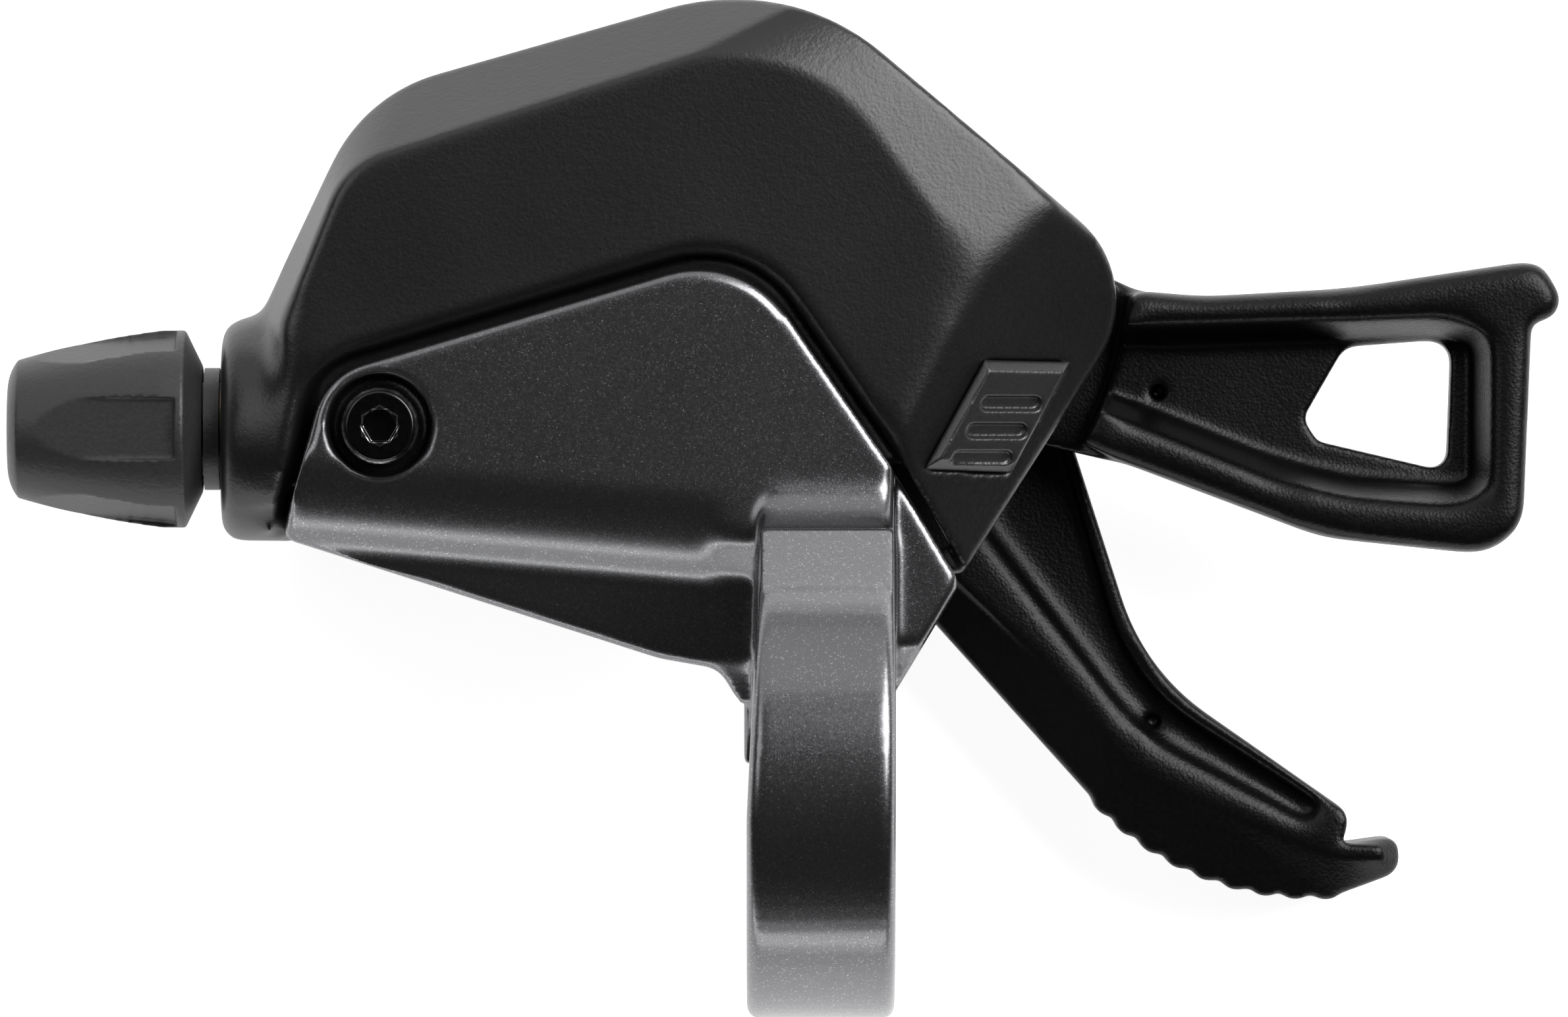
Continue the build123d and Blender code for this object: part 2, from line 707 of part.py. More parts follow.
# Base cap: lower shell, cut back round the lever sweep, with the wall under the bracket
cap_top = housing_bottom - cap_joint_gap
with BuildPart() as cap_cavity:
    with BuildSketch(Plane.XY.offset(cap_floor_top)):
        shape(inner_outer, inner_outer_radii)
    extrude(amount=cap_top - cap_floor_top)
    with BuildSketch(Plane.XY.offset(cap_floor_top)):
        with BuildLine():
            Polyline(*slot_corners, close=True)
        make_face()
        with Locations(axle_at):
            Circle(cap_arc_radius - housing_wall, mode=Mode.SUBTRACT)
    extrude(amount=cap_top - cap_floor_top, mode=Mode.SUBTRACT)

lower_slope = (outer_outline[5][1] - outer_outline[0][1]) / (outer_outline[5][0] - outer_outline[0][0])
wall_start_x = lower_opening[0][0] + running_gap
wall_start_y = outer_outline[0][1] + (wall_start_x - outer_outline[0][0]) * lower_slope
wall_end_y = outer_outline[0][1] + (cap_wall_end - outer_outline[0][0]) * lower_slope
with BuildPart() as base_cap:
    with BuildSketch(Plane.XY.offset(cap_bottom)):
        shape(outer_outline, outer_radii)
    extrude(amount=cap_top - cap_bottom)
    with BuildSketch(Plane.XY.offset(cap_bottom)):
        with BuildLine():
            Polyline(*slot_corners, close=True)
        make_face()
        with Locations(axle_at):
            Circle(cap_arc_radius, mode=Mode.SUBTRACT)
    extrude(amount=cap_top - cap_bottom, mode=Mode.SUBTRACT)
    add(cap_cavity.part, mode=Mode.SUBTRACT)
    cap_rim = base_cap.faces().sort_by(Axis.Z)[0].edges()
    fillet(cap_rim.filter_by(lambda e: e.length > cap_edge_round * 4), cap_edge_round)
    with BuildSketch(Plane.XY.offset(cap_floor_top)):
        with BuildLine():
            Polyline(
                (wall_start_x, wall_start_y),
                (wall_start_x, wall_start_y + housing_wall),
                (cap_wall_end, wall_end_y + housing_wall),
                (cap_wall_end, wall_end_y),
                close=True,
            )
        make_face()
    extrude(amount=flange_bottom - running_gap - cap_floor_top)
    with Locations((*cap_post_at, cap_bottom), (*bracket_post_at, cap_bottom)):
        Cylinder(
            cap_screw_head_radius + bearing_clearance,
            cap_screw_head_height,
            align=STAND,
            mode=Mode.SUBTRACT,
        )
        Cylinder(cap_screw_radius + bearing_clearance, cap_floor, align=STAND, mode=Mode.SUBTRACT)
base_cap.part.label = "base_cap"
export_step(base_cap.part, "parts/base_cap.step")

# Base cap screws, a pair from below
with BuildPart() as cap_screws:
    with Locations((*cap_post_at, cap_bottom), (*bracket_post_at, cap_bottom)):
        Cylinder(cap_screw_head_radius, cap_screw_head_height, align=STAND)
        Cylinder(cap_screw_radius, cap_floor + cap_screw_grip, align=STAND)
        Cylinder(cap_screw_socket, cap_screw_head_height / 2, align=STAND, mode=Mode.SUBTRACT)
cap_screws.part.label = "cap_screws"
export_step(cap_screws.part, "parts/cap_screws.step")

# Bracket screw with a hexagon socket, in its dished counterbore
screw_seat = plate_top - screw_dish_depth
with BuildPart() as bracket_screw:
    with Locations((*screw_at, screw_seat)):
        Cylinder(screw_head_radius, screw_head_height, align=STAND)
        Cylinder(screw_radius, plate_thickness - screw_dish_depth + screw_grip - running_gap, align=HANG)
    chamfer(bracket_screw.edges().group_by(Axis.Z)[-1], screw_chamfer)
    with BuildSketch(Plane.XY.offset(screw_seat + screw_head_height)):
        with Locations(screw_at):
            RegularPolygon(screw_hex / 2, 6, major_radius=False)
    extrude(amount=-screw_hex_depth, mode=Mode.SUBTRACT)
bracket_screw.part.label = "bracket_screw"
export_step(bracket_screw.part, "parts/bracket_screw.step")

# Clamp bolt and washer across the slit
lug_face = clamp_slit_top - clamp_slit - clamp_lug_length
bolt_plane = Plane(origin=(0, lug_face, -clamp_bolt_drop), x_dir=(1, 0, 0), z_dir=(0, -1, 0))
with BuildPart() as clamp_washer:
    with BuildSketch(bolt_plane):
        Circle(clamp_washer_radius)
        Circle(clamp_bolt_radius + bearing_clearance, mode=Mode.SUBTRACT)
    extrude(amount=clamp_washer_thickness)
clamp_washer.part.label = "clamp_washer"
export_step(clamp_washer.part, "parts/clamp_washer.step")
with BuildPart() as clamp_bolt:
    with BuildSketch(bolt_plane.offset(clamp_washer_thickness)):
        Circle(clamp_bolt_head_radius)
    extrude(amount=clamp_bolt_head_height)
    chamfer(clamp_bolt.edges().group_by(Axis.Y)[0], screw_chamfer)
    with BuildSketch(bolt_plane.offset(clamp_washer_thickness)):
        Circle(clamp_bolt_radius)
    extrude(amount=-(clamp_washer_thickness + clamp_lug_length + clamp_slit + clamp_bolt_grip))
    with BuildSketch(bolt_plane.offset(clamp_washer_thickness + clamp_bolt_head_height)):
        RegularPolygon(clamp_bolt_hex / 2, 6, major_radius=False)
    extrude(amount=-clamp_bolt_hex_depth, mode=Mode.SUBTRACT)
clamp_bolt.part.label = "clamp_bolt"
export_step(clamp_bolt.part, "parts/clamp_bolt.step")

# Main axle, shouldered between the bracket tongue and the support plate
with BuildPart() as main_axle:
    with Locations((*axle_at, support_top)):
        Cylinder(axle_radius, tongue_bottom - support_top, align=STAND)
    with Locations((*axle_at, tongue_bottom)):
        Cylinder(axle_end_radius, tongue_thickness, align=STAND)
    with Locations((*axle_at, support_top)):
        Cylinder(axle_end_radius, support_top - nut_bottom, align=HANG)
main_axle.part.label = "main_axle"
export_step(main_axle.part, "parts/main_axle.step")

with BuildPart() as axle_bush:
    with Locations((*axle_at, support_top)):
        Cylinder(bush_radius, tongue_bottom - support_top, align=STAND)
        Cylinder(axle_radius + fit_clearance, tongue_bottom - support_top, align=STAND, mode=Mode.SUBTRACT)
axle_bush.part.label = "axle_bush"
export_step(axle_bush.part, "parts/axle_bush.step")

with BuildPart() as axle_nut:
    with BuildSketch(Plane.XY.offset(nut_bottom)):
        with Locations(axle_at):
            RegularPolygon(nut_hex / 2, 6, major_radius=False)
            Circle(axle_end_radius + fit_clearance, mode=Mode.SUBTRACT)
    extrude(amount=nut_height - nut_washer)
axle_nut.part.label = "axle_nut"
export_step(axle_nut.part, "parts/axle_nut.step")

with BuildPart() as axle_washer:
    with BuildSketch(Plane.XY.offset(support_bottom - nut_washer)):
        with Locations(axle_at):
            Circle(nut_washer_radius)
            Circle(axle_end_radius + fit_clearance, mode=Mode.SUBTRACT)
    extrude(amount=nut_washer)
axle_washer.part.label = "axle_washer"
export_step(axle_washer.part, "parts/axle_washer.step")

# Support plate that carries the lower end of the axle and the holding pawl pin
with BuildPart() as support_plate:
    with BuildSketch(Plane.XY.offset(support_bottom)):
        with Locations(axle_at):
            Circle(hub_radius)
        with Locations(hold_pin_at):
            Circle(pawl_eye_radius + pawl_pin_radius)
        make_hull()
        with Locations(axle_at):
            Circle(axle_end_radius + fit_clearance, mode=Mode.SUBTRACT)
        with Locations(hold_pin_at):
            Circle(pawl_pin_radius + fit_clearance, mode=Mode.SUBTRACT)
    extrude(amount=support_thickness)
support_plate.part.label = "support_plate"
export_step(support_plate.part, "parts/support_plate.step")

# Wire spool with its cable groove, spring pocket and nipple pocket
with BuildPart() as wire_spool:
    with Locations((*axle_at, spool_bottom)):
        Cylinder(spool_radius, spool_height, align=STAND)
        Cylinder(bush_radius + bearing_clearance, spool_height, align=STAND, mode=Mode.SUBTRACT)
    with BuildSketch(Plane.XZ.offset(-axle_at[1])):
        with BuildLine():
            Polyline(
                (axle_x + spool_cable_radius - cable_radius, cable_z),
                (axle_x + spool_radius + cable_radius, cable_z + groove_half),
                (axle_x + spool_radius + cable_radius, cable_z - groove_half),
                close=True,
            )
        make_face()
    revolve(axis=Axis((*axle_at, 0), (0, 0, 1)), mode=Mode.SUBTRACT)
    with BuildSketch(Plane.XY.offset(spool_top)):
        with Locations(axle_at):
            Circle(spring_pocket_outer)
            Circle(spring_pocket_inner, mode=Mode.SUBTRACT)
    extrude(amount=-spring_pocket_depth, mode=Mode.SUBTRACT)
    with BuildSketch(Plane.XY.offset(spool_top)):
        with Locations(around(axle_at, spool_radius, nipple_angle)):
            Circle(nipple_radius)
    extrude(amount=cable_z - nipple_radius - spool_top, mode=Mode.SUBTRACT)
wire_spool.part.label = "wire_spool"
export_step(wire_spool.part, "parts/wire_spool.step")

# Ratchet plate: saw teeth, steep on the side that the pawls push
tooth_points = []
for index in range(click_count):
    tooth_angle = hold_tip_angle + pawl_face_angle + index * click_angle
    tooth_points.append(around(axle_at, ratchet_root_radius, tooth_angle))
    tooth_points.append(around(axle_at, ratchet_tip_radius, tooth_angle))
with BuildPart() as ratchet_plate:
    with BuildSketch(Plane.XY.offset(ratchet_bottom)):
        with BuildLine():
            Polyline(*tooth_points, close=True)
        make_face()
        with Locations(axle_at):
            Circle(bush_radius + bearing_clearance, mode=Mode.SUBTRACT)
    extrude(amount=ratchet_thickness)
ratchet_plate.part.label = "ratchet_plate"
export_step(ratchet_plate.part, "parts/ratchet_plate.step")

# Return spring in the spool
with BuildPart() as return_spring:
    with BuildLine():
        Helix(
            return_spring_pitch,
            return_spring_height,
            return_spring_radius,
            center=(*axle_at, return_spring_base),
        )
    spring_start = (axle_x + return_spring_radius, axle_at[1], return_spring_base)
    with BuildSketch(Plane(origin=spring_start, x_dir=(1, 0, 0), z_dir=(0, 1, 0))):
        Rectangle(return_spring_wire, return_spring_wire)
    sweep(is_frenet=True)
return_spring.part.label = "return_spring"
export_step(return_spring.part, "parts/return_spring.step")


# Pawls: hooked fingers on pins, alike but for their place and rest angle
def pawl_tip(tip_angle, pin_at, lift):
    """Tip centre of a pawl that is swung clear of the teeth by an angle."""
    engaged = around(axle_at, ratchet_root_radius + pawl_tip_lift + pawl_tip_radius, tip_angle)
    swung = Vector(engaged[0] - pin_at[0], engaged[1] - pin_at[1]).rotate(Axis.Z, -lift)
    return (pin_at[0] + swung.X, pin_at[1] + swung.Y)


pawl_top = spool_bottom - clip_thickness - pawl_gap
pawl_bottom = ratchet_bottom + pawl_gap / 2
pawl_spring_z = pawl_bottom - pawl_gap - pawl_spring_wire / 2
hold_tip_at = pawl_tip(hold_tip_angle, hold_pin_at, 0)
feed_tip_at = pawl_tip(feed_tip_angle, feed_pin_at, pawl_lift)
with BuildPart() as hold_pawl:
    with BuildSketch(Plane.XY.offset(pawl_bottom)):
        with Locations(hold_pin_at):
            Circle(pawl_eye_radius / 2)
        with Locations(hold_tip_at):
            Circle(pawl_tip_radius)
        make_hull()
        with Locations(hold_pin_at):
            Circle(pawl_eye_radius)
            Circle(pawl_pin_radius + bearing_clearance, mode=Mode.SUBTRACT)
    extrude(amount=pawl_top - pawl_bottom)
hold_pawl.part.label = "hold_pawl"
export_step(hold_pawl.part, "parts/hold_pawl.step")

with BuildPart() as feed_pawl:
    with BuildSketch(Plane.XY.offset(pawl_bottom)):
        with Locations(feed_pin_at):
            Circle(pawl_eye_radius / 2)
        with Locations(feed_tip_at):
            Circle(pawl_tip_radius)
        make_hull()
        with Locations(feed_pin_at):
            Circle(pawl_eye_radius)
            Circle(pawl_pin_radius + bearing_clearance, mode=Mode.SUBTRACT)
    extrude(amount=pawl_top - pawl_bottom)
feed_pawl.part.label = "feed_pawl"
export_step(feed_pawl.part, "parts/feed_pawl.step")

with BuildPart() as hold_pawl_pin:
    with Locations((*hold_pin_at, support_bottom)):
        Cylinder(pawl_pin_radius, tongue_top - support_bottom, align=STAND)
hold_pawl_pin.part.label = "hold_pawl_pin"
export_step(hold_pawl_pin.part, "parts/hold_pawl_pin.step")

with BuildPart() as feed_pawl_pin:
    with Locations((*feed_pin_at, main_root_bottom)):
        Cylinder(pawl_pin_radius, pawl_top + clip_thickness - main_root_bottom, align=STAND)
feed_pawl_pin.part.label = "feed_pawl_pin"
export_step(feed_pawl_pin.part, "parts/feed_pawl_pin.step")

with BuildPart() as feed_pawl_clip:
    with BuildSketch(Plane.XY.offset(pawl_top)):
        with Locations(feed_pin_at):
            Circle(pawl_eye_radius)
            Circle(pawl_pin_radius + fit_clearance, mode=Mode.SUBTRACT)
    extrude(amount=clip_thickness)
feed_pawl_clip.part.label = "feed_pawl_clip"
export_step(feed_pawl_clip.part, "parts/feed_pawl_clip.step")

# Wire springs that bend round a pin or the bush, each one turn with a gap
spring_rings = [
    ("hold_pawl_spring", hold_pin_at, pawl_spring_radius, pawl_spring_z, pawl_spring_wire),
    ("feed_pawl_spring", feed_pin_at, pawl_spring_radius, pawl_spring_z, pawl_spring_wire),
    ("release_spring", axle_at, lever_spring_radius, release_spring_z, lever_spring_wire),
    ("main_lever_spring", axle_at, lever_spring_radius, main_spring_z, lever_spring_wire),
]
for name, centre, radius, level, wire in spring_rings:
    with BuildPart() as spring_ring:
        with BuildSketch(Plane.XZ.offset(-centre[1])):
            with Locations((centre[0] + radius, level)):
                Rectangle(wire, wire)
        revolve(axis=Axis((*centre, level), (0, 0, 1)), revolution_arc=spring_turn)
    spring_ring.part.label = name
    export_step(spring_ring.part, f"parts/{name}.step")

# Release lever: thin root on the bush, then the skeleton finger loop
with BuildPart() as release_lever:
    with BuildSketch(Plane.XY.offset(release_root_bottom)):
        shape(release_outline, release_radii)
        with Locations(axle_at):
            Circle(release_arc_radius, mode=Mode.SUBTRACT)
    extrude(amount=release_top - release_root_bottom)
    loop_rim = release_lever.faces().sort_by(Axis.Z)[-1].edges()
    loop_centre = Vector(*axle_at, release_top)
    clear_of_root = release_arc_radius + loop_edge_round
    fillet(loop_rim.filter_by(lambda e: (e.center() - loop_centre).length > clear_of_root), loop_edge_round)
    with BuildSketch(Plane.XY.offset(release_top)):
        shape(loop_mouth, loop_mouth_radii)
    extrude(amount=-loop_mouth_depth, taper=loop_mouth_draft, mode=Mode.SUBTRACT)
    with BuildSketch(Plane.XY.offset(release_root_bottom)):
        shape(loop_hole, loop_hole_radii)
    extrude(amount=release_top - release_root_bottom, mode=Mode.SUBTRACT)
    with BuildSketch(Plane.XY.offset(release_root_bottom)):
        with Locations(axle_at):
            Circle(hub_radius)
        with Locations(*release_root_ends):
            Circle(release_root_round)
        make_hull()
    extrude(amount=release_root_thickness)
    with Locations((*axle_at, release_root_bottom)):
        Cylinder(bush_radius + bearing_clearance, release_root_thickness, align=STAND, mode=Mode.SUBTRACT)
    with Locations((*release_pin_at, release_top - loop_mouth_depth)):
        Cylinder(mark_pin_radius, mark_pin_depth, align=HANG, mode=Mode.SUBTRACT)
release_lever.part.label = "release_lever"
export_step(release_lever.part, "parts/release_lever.step")

# Main lever: hub, arm with the feed pawl boss, and the ribbed thumb pad
with BuildLine() as rib_line:
    FilletPolyline(*pad_outline[0:4], radius=pad_radii[1:3])
rib_wire = Wire(rib_line.edges())
with BuildPart() as main_lever:
    with BuildSketch(Plane.XY.offset(main_root_bottom)):
        shape(arm_outline, arm_radii)
        with Locations(axle_at):
            Circle(hub_radius)
    extrude(amount=main_root_thickness)
    with BuildSketch(Plane.XY.offset(main_root_bottom)):
        shape(arm_outline, arm_radii)
        with Locations(axle_at):
            Circle(cap_arc_radius + lever_gap, mode=Mode.SUBTRACT)
    extrude(amount=-arm_drop)
    with BuildSketch(Plane.XY.offset(main_root_bottom)):
        with Locations(axle_at):
            Circle(hub_radius)
        with Locations(feed_pin_at):
            Circle(pawl_eye_radius)
        make_hull()
    extrude(amount=main_root_thickness)
    with BuildSketch(Plane.XY.offset(main_root_top)):
        shape(arm_recess, arm_recess_radii)
    extrude(amount=-arm_recess_depth, mode=Mode.SUBTRACT)
    with BuildSketch(Plane.XY.offset(main_root_top - pad_slope)):
        shape(pad_outline, pad_radii)
    with BuildSketch(Plane.XY.offset(main_root_top)):
        shape(pad_crest, pad_crest_radii)
    loft(ruled=True)
    with BuildSketch(Plane.XY.offset(main_root_top - pad_slope)):
        shape(pad_outline, pad_radii)
    extrude(amount=pad_slope - pad_height)
    for index in range(rib_count):
        along = rib_first + (rib_last - rib_first) * index / (rib_count - 1)
        rib_at = rib_wire.position_at(along)
        rib_way = rib_wire.tangent_at(along)
        rib_out = Vector(rib_way.Y, -rib_way.X) * (rib_rise - rib_radius)
        with BuildSketch(Plane.XY.offset(main_root_top - pad_slope)):
            with Locations((rib_at.X + rib_out.X, rib_at.Y + rib_out.Y)):
                Circle(rib_radius)
        extrude(amount=pad_slope + pad_foot - pad_height)
    with Locations((*axle_at, main_root_bottom)):
        Cylinder(bush_radius + bearing_clearance, main_root_thickness, align=STAND, mode=Mode.SUBTRACT)
    with Locations((*feed_pin_at, main_root_bottom)):
        Cylinder(pawl_pin_radius + fit_clearance, main_root_thickness, align=STAND, mode=Mode.SUBTRACT)
    with Locations((*arm_pin_at, main_root_top - arm_recess_depth)):
        Cylinder(mark_pin_radius, arm_pin_depth, align=HANG, mode=Mode.SUBTRACT)
main_lever.part.label = "main_lever"
export_step(main_lever.part, "parts/main_lever.step")

# Barrel adjuster: knob with five flats moulded over a hollow threaded stem, collar and brass insert
adjuster_axis = Axis((0, cable_y, cable_z), (1, 0, 0))
adjuster_plane = Plane(origin=(0, cable_y, cable_z), x_dir=(1, 0, 0), z_dir=(0, -1, 0))
dome_top = knob_end - knob_dome
stem_head_end = dome_top + knob_cover
with BuildPart() as adjuster_knob:
    with BuildSketch(adjuster_plane):
        with BuildLine():
            ThreePointArc((dome_top, casing_radius), knob_dome_arc, (knob_end, knob_end_radius))
            ThreePointArc((knob_end, knob_end_radius), knob_swell, (knob_rim, knob_rim_radius))
            Polyline(
                (knob_rim, knob_rim_radius),
                (knob_rim_end, knob_rim_radius),
                (knob_back, knob_back_radius),
                (knob_back, stem_radius + fit_clearance),
                (stem_shoulder, stem_radius + fit_clearance),
                (stem_shoulder, stem_head_radius + fit_clearance),
                (stem_head_end, stem_head_radius + fit_clearance),
                (stem_head_end, casing_radius),
                (dome_top, casing_radius),
            )
        make_face()
    revolve(axis=adjuster_axis)
    for index in range(knob_flat_count):
        turn = radians(index * 360 / knob_flat_count)
        outward = Vector(0, sin(turn), cos(turn))
        flat_from = Vector(knob_flat_start[0], cable_y, cable_z) + outward * knob_flat_start[1]
        flat_to = Vector(knob_flat_end[0], cable_y, cable_z) + outward * knob_flat_end[1]
        flat_run = flat_to - flat_from
        flat_side = Vector(1, 0, 0).cross(outward)
        with BuildSketch(Plane(origin=flat_to, x_dir=flat_run, z_dir=flat_side.cross(flat_run))):
            Rectangle(flat_run.length, knob_flat_half_width * 2, align=(Align.MAX, Align.CENTER))
        extrude(amount=knob_rim_radius, mode=Mode.SUBTRACT)
adjuster_knob.part.label = "adjuster_knob"
export_step(adjuster_knob.part, "parts/adjuster_knob.step")

with BuildPart() as adjuster_stem:
    with BuildSketch(adjuster_plane):
        with BuildLine():
            Polyline(
                (stem_head_end, casing_radius),
                (stem_head_end, stem_head_radius),
                (stem_shoulder, stem_head_radius),
                (stem_shoulder, stem_radius),
                (stem_end, stem_radius),
                (stem_end, cable_bore),
                (dome_top + casing_seat, cable_bore),
                (dome_top + casing_seat, casing_radius),
                close=True,
            )
        make_face()
    revolve(axis=adjuster_axis)
adjuster_stem.part.label = "adjuster_stem"
export_step(adjuster_stem.part, "parts/adjuster_stem.step")

with BuildPart() as adjuster_collar:
    with BuildSketch(Plane.YZ.offset(knob_back + collar_gap)):
        with Locations((cable_y, cable_z)):
            Circle(collar_radius)
            Circle(stem_radius + bearing_clearance, mode=Mode.SUBTRACT)
    extrude(amount=boss_end - knob_back - collar_gap * 2)
adjuster_collar.part.label = "adjuster_collar"
export_step(adjuster_collar.part, "parts/adjuster_collar.step")

with BuildPart() as adjuster_insert:
    with BuildSketch(Plane.YZ.offset(boss_end)):
        with Locations((cable_y, cable_z)):
            Circle(insert_radius)
            Circle(stem_radius + bearing_clearance, mode=Mode.SUBTRACT)
    extrude(amount=insert_end - boss_end)
adjuster_insert.part.label = "adjuster_insert"
export_step(adjuster_insert.part, "parts/adjuster_insert.step")
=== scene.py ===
# %% [markdown]
# # A trigger gear shifter, dressed for its picture
# The shifter hangs under a flat handlebar: a die-cast bracket with a clamp band, a moulded cover, a thumb paddle,
# a skeleton finger loop and a barrel adjuster with flats. Its solids come ready made in metres. This lesson keeps
# them where they are, rounds their edges as moulding and casting do, and gives each surface a finish made of nodes.

# %% Load the solids
import json
from math import cos, radians, sin

import bmesh
import bpy
import numpy as np
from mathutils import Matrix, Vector

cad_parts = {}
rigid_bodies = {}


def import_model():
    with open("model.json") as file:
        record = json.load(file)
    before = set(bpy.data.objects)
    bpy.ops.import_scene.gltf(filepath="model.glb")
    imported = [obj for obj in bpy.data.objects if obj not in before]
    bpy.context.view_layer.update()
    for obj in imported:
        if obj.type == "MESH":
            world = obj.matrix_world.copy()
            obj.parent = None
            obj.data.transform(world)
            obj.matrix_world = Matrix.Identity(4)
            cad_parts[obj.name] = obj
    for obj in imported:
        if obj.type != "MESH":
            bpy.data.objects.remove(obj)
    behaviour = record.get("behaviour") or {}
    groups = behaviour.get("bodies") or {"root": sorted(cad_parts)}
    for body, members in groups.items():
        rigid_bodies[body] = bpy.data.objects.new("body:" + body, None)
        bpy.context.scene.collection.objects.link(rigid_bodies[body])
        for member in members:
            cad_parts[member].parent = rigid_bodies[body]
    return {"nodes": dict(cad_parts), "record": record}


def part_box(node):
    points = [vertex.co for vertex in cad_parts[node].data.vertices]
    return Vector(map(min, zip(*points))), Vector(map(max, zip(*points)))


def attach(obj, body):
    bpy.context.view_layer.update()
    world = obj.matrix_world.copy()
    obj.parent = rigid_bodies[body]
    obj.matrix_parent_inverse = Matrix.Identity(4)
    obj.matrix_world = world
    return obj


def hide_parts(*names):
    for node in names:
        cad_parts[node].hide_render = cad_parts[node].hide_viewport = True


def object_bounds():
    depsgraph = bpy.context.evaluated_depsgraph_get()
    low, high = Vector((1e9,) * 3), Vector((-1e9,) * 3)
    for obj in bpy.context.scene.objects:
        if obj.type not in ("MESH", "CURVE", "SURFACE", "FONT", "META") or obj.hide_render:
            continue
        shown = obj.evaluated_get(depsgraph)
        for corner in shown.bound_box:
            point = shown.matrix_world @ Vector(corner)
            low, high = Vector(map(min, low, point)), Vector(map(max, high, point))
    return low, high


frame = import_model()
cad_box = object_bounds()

MM = 0.001
nodes = frame["nodes"]
scene = bpy.context.scene
scene.view_settings.view_transform = "Standard"
print("solids:", len(nodes), "box in mm:", [round(v / MM, 1) for v in cad_box[1] - cad_box[0]])

# %% [markdown]
# ## The camera
# The picture looks square-on to the mechanism, so the camera stands straight above and looks down the Z axis, with
# +Y up in the image. A long lens far away keeps the outlines nearly parallel, as a product photographer would.

# %% Camera above the mechanism plane
IMAGE_WIDTH, IMAGE_HEIGHT = 2380, 1543
PIXELS_PER_MM = 24.5
BORE_PIXEL = (1245, 1185)
LENS_MM = 400
SENSOR_MM = 36
PLATE_LEVEL = -5 * MM

view_centre = Vector((
    (IMAGE_WIDTH / 2 - BORE_PIXEL[0]) / PIXELS_PER_MM * MM,
    (BORE_PIXEL[1] - IMAGE_HEIGHT / 2) / PIXELS_PER_MM * MM,
    PLATE_LEVEL,
))
camera_data = bpy.data.cameras.new("view_camera")
camera_data.lens = LENS_MM
camera_data.sensor_width = SENSOR_MM
camera_data.clip_start = 0.01
camera = bpy.data.objects.new("view_camera", camera_data)
distance = IMAGE_WIDTH / PIXELS_PER_MM * MM * LENS_MM / SENSOR_MM
camera.location = view_centre + Vector((0, 0, distance))
scene.collection.objects.link(camera)
scene.camera = camera
print("camera height in mm:", round(distance / MM))

# %% [markdown]
# ## Numbers that vary over a surface
# A finish is a small sum: a base colour, plus grain, minus wear. Blender adds numbers with Math nodes, which are
# slow to read. The class below wraps a node's output, so that `grain * 0.3 + 0.4` writes those nodes by itself.


# %% A wrapped socket
class Field:
    """A node output that plain arithmetic works on."""

    def __init__(self, owner, socket):
        self.owner = owner
        self.socket = socket

    def math(self, operation, first, second):
        return self.owner.node("ShaderNodeMath", {"operation": operation}, {0: first, 1: second})

    def __add__(self, other):
        return self.math("ADD", self, other)

    def __radd__(self, other):
        return self.math("ADD", other, self)

    def __sub__(self, other):
        return self.math("SUBTRACT", self, other)

    def __rsub__(self, other):
        return self.math("SUBTRACT", other, self)

    def __mul__(self, other):
        return self.math("MULTIPLY", self, other)

    def __rmul__(self, other):
        return self.math("MULTIPLY", other, self)

    def __abs__(self):
        return self.math("ABSOLUTE", self, 0.0)

    def most(self, other):
        return self.math("MAXIMUM", self, other)


print("arithmetic on sockets ready")

# %% [markdown]
# ## One way to add a node
# Any other node comes from one method, `node`, which takes its type, its settings and its inputs, and returns one of
# its outputs. Materials, the world and Geometry Nodes are all trees of nodes, so they share it.


# %% A tree of nodes
class Nodes:
    """A node tree whose nodes come from one method."""

    def __init__(self, tree):
        self.tree = tree

    def node(self, kind, settings=None, inputs=None, out=0):
        made = self.tree.nodes.new(kind)
        for name, value in (settings or {}).items():
            setattr(made, name, value)
        for name, value in (inputs or {}).items():
            if isinstance(value, Field):
                self.tree.links.new(value.socket, made.inputs[name])
            else:
                made.inputs[name].default_value = value
        return Field(self, made.outputs[out])


print("trees of nodes ready")

# %% [markdown]
# ## A finish
# A finish is a material with a few patterns at hand: smooth noise, cells, a ramp, a blend of two colours and a bump.
# All of them read Object coordinates, so a pattern has the same size in millimetres on every piece. Numbers that are
# the same all over a surface are set on the shader itself, and only those that vary come through nodes.


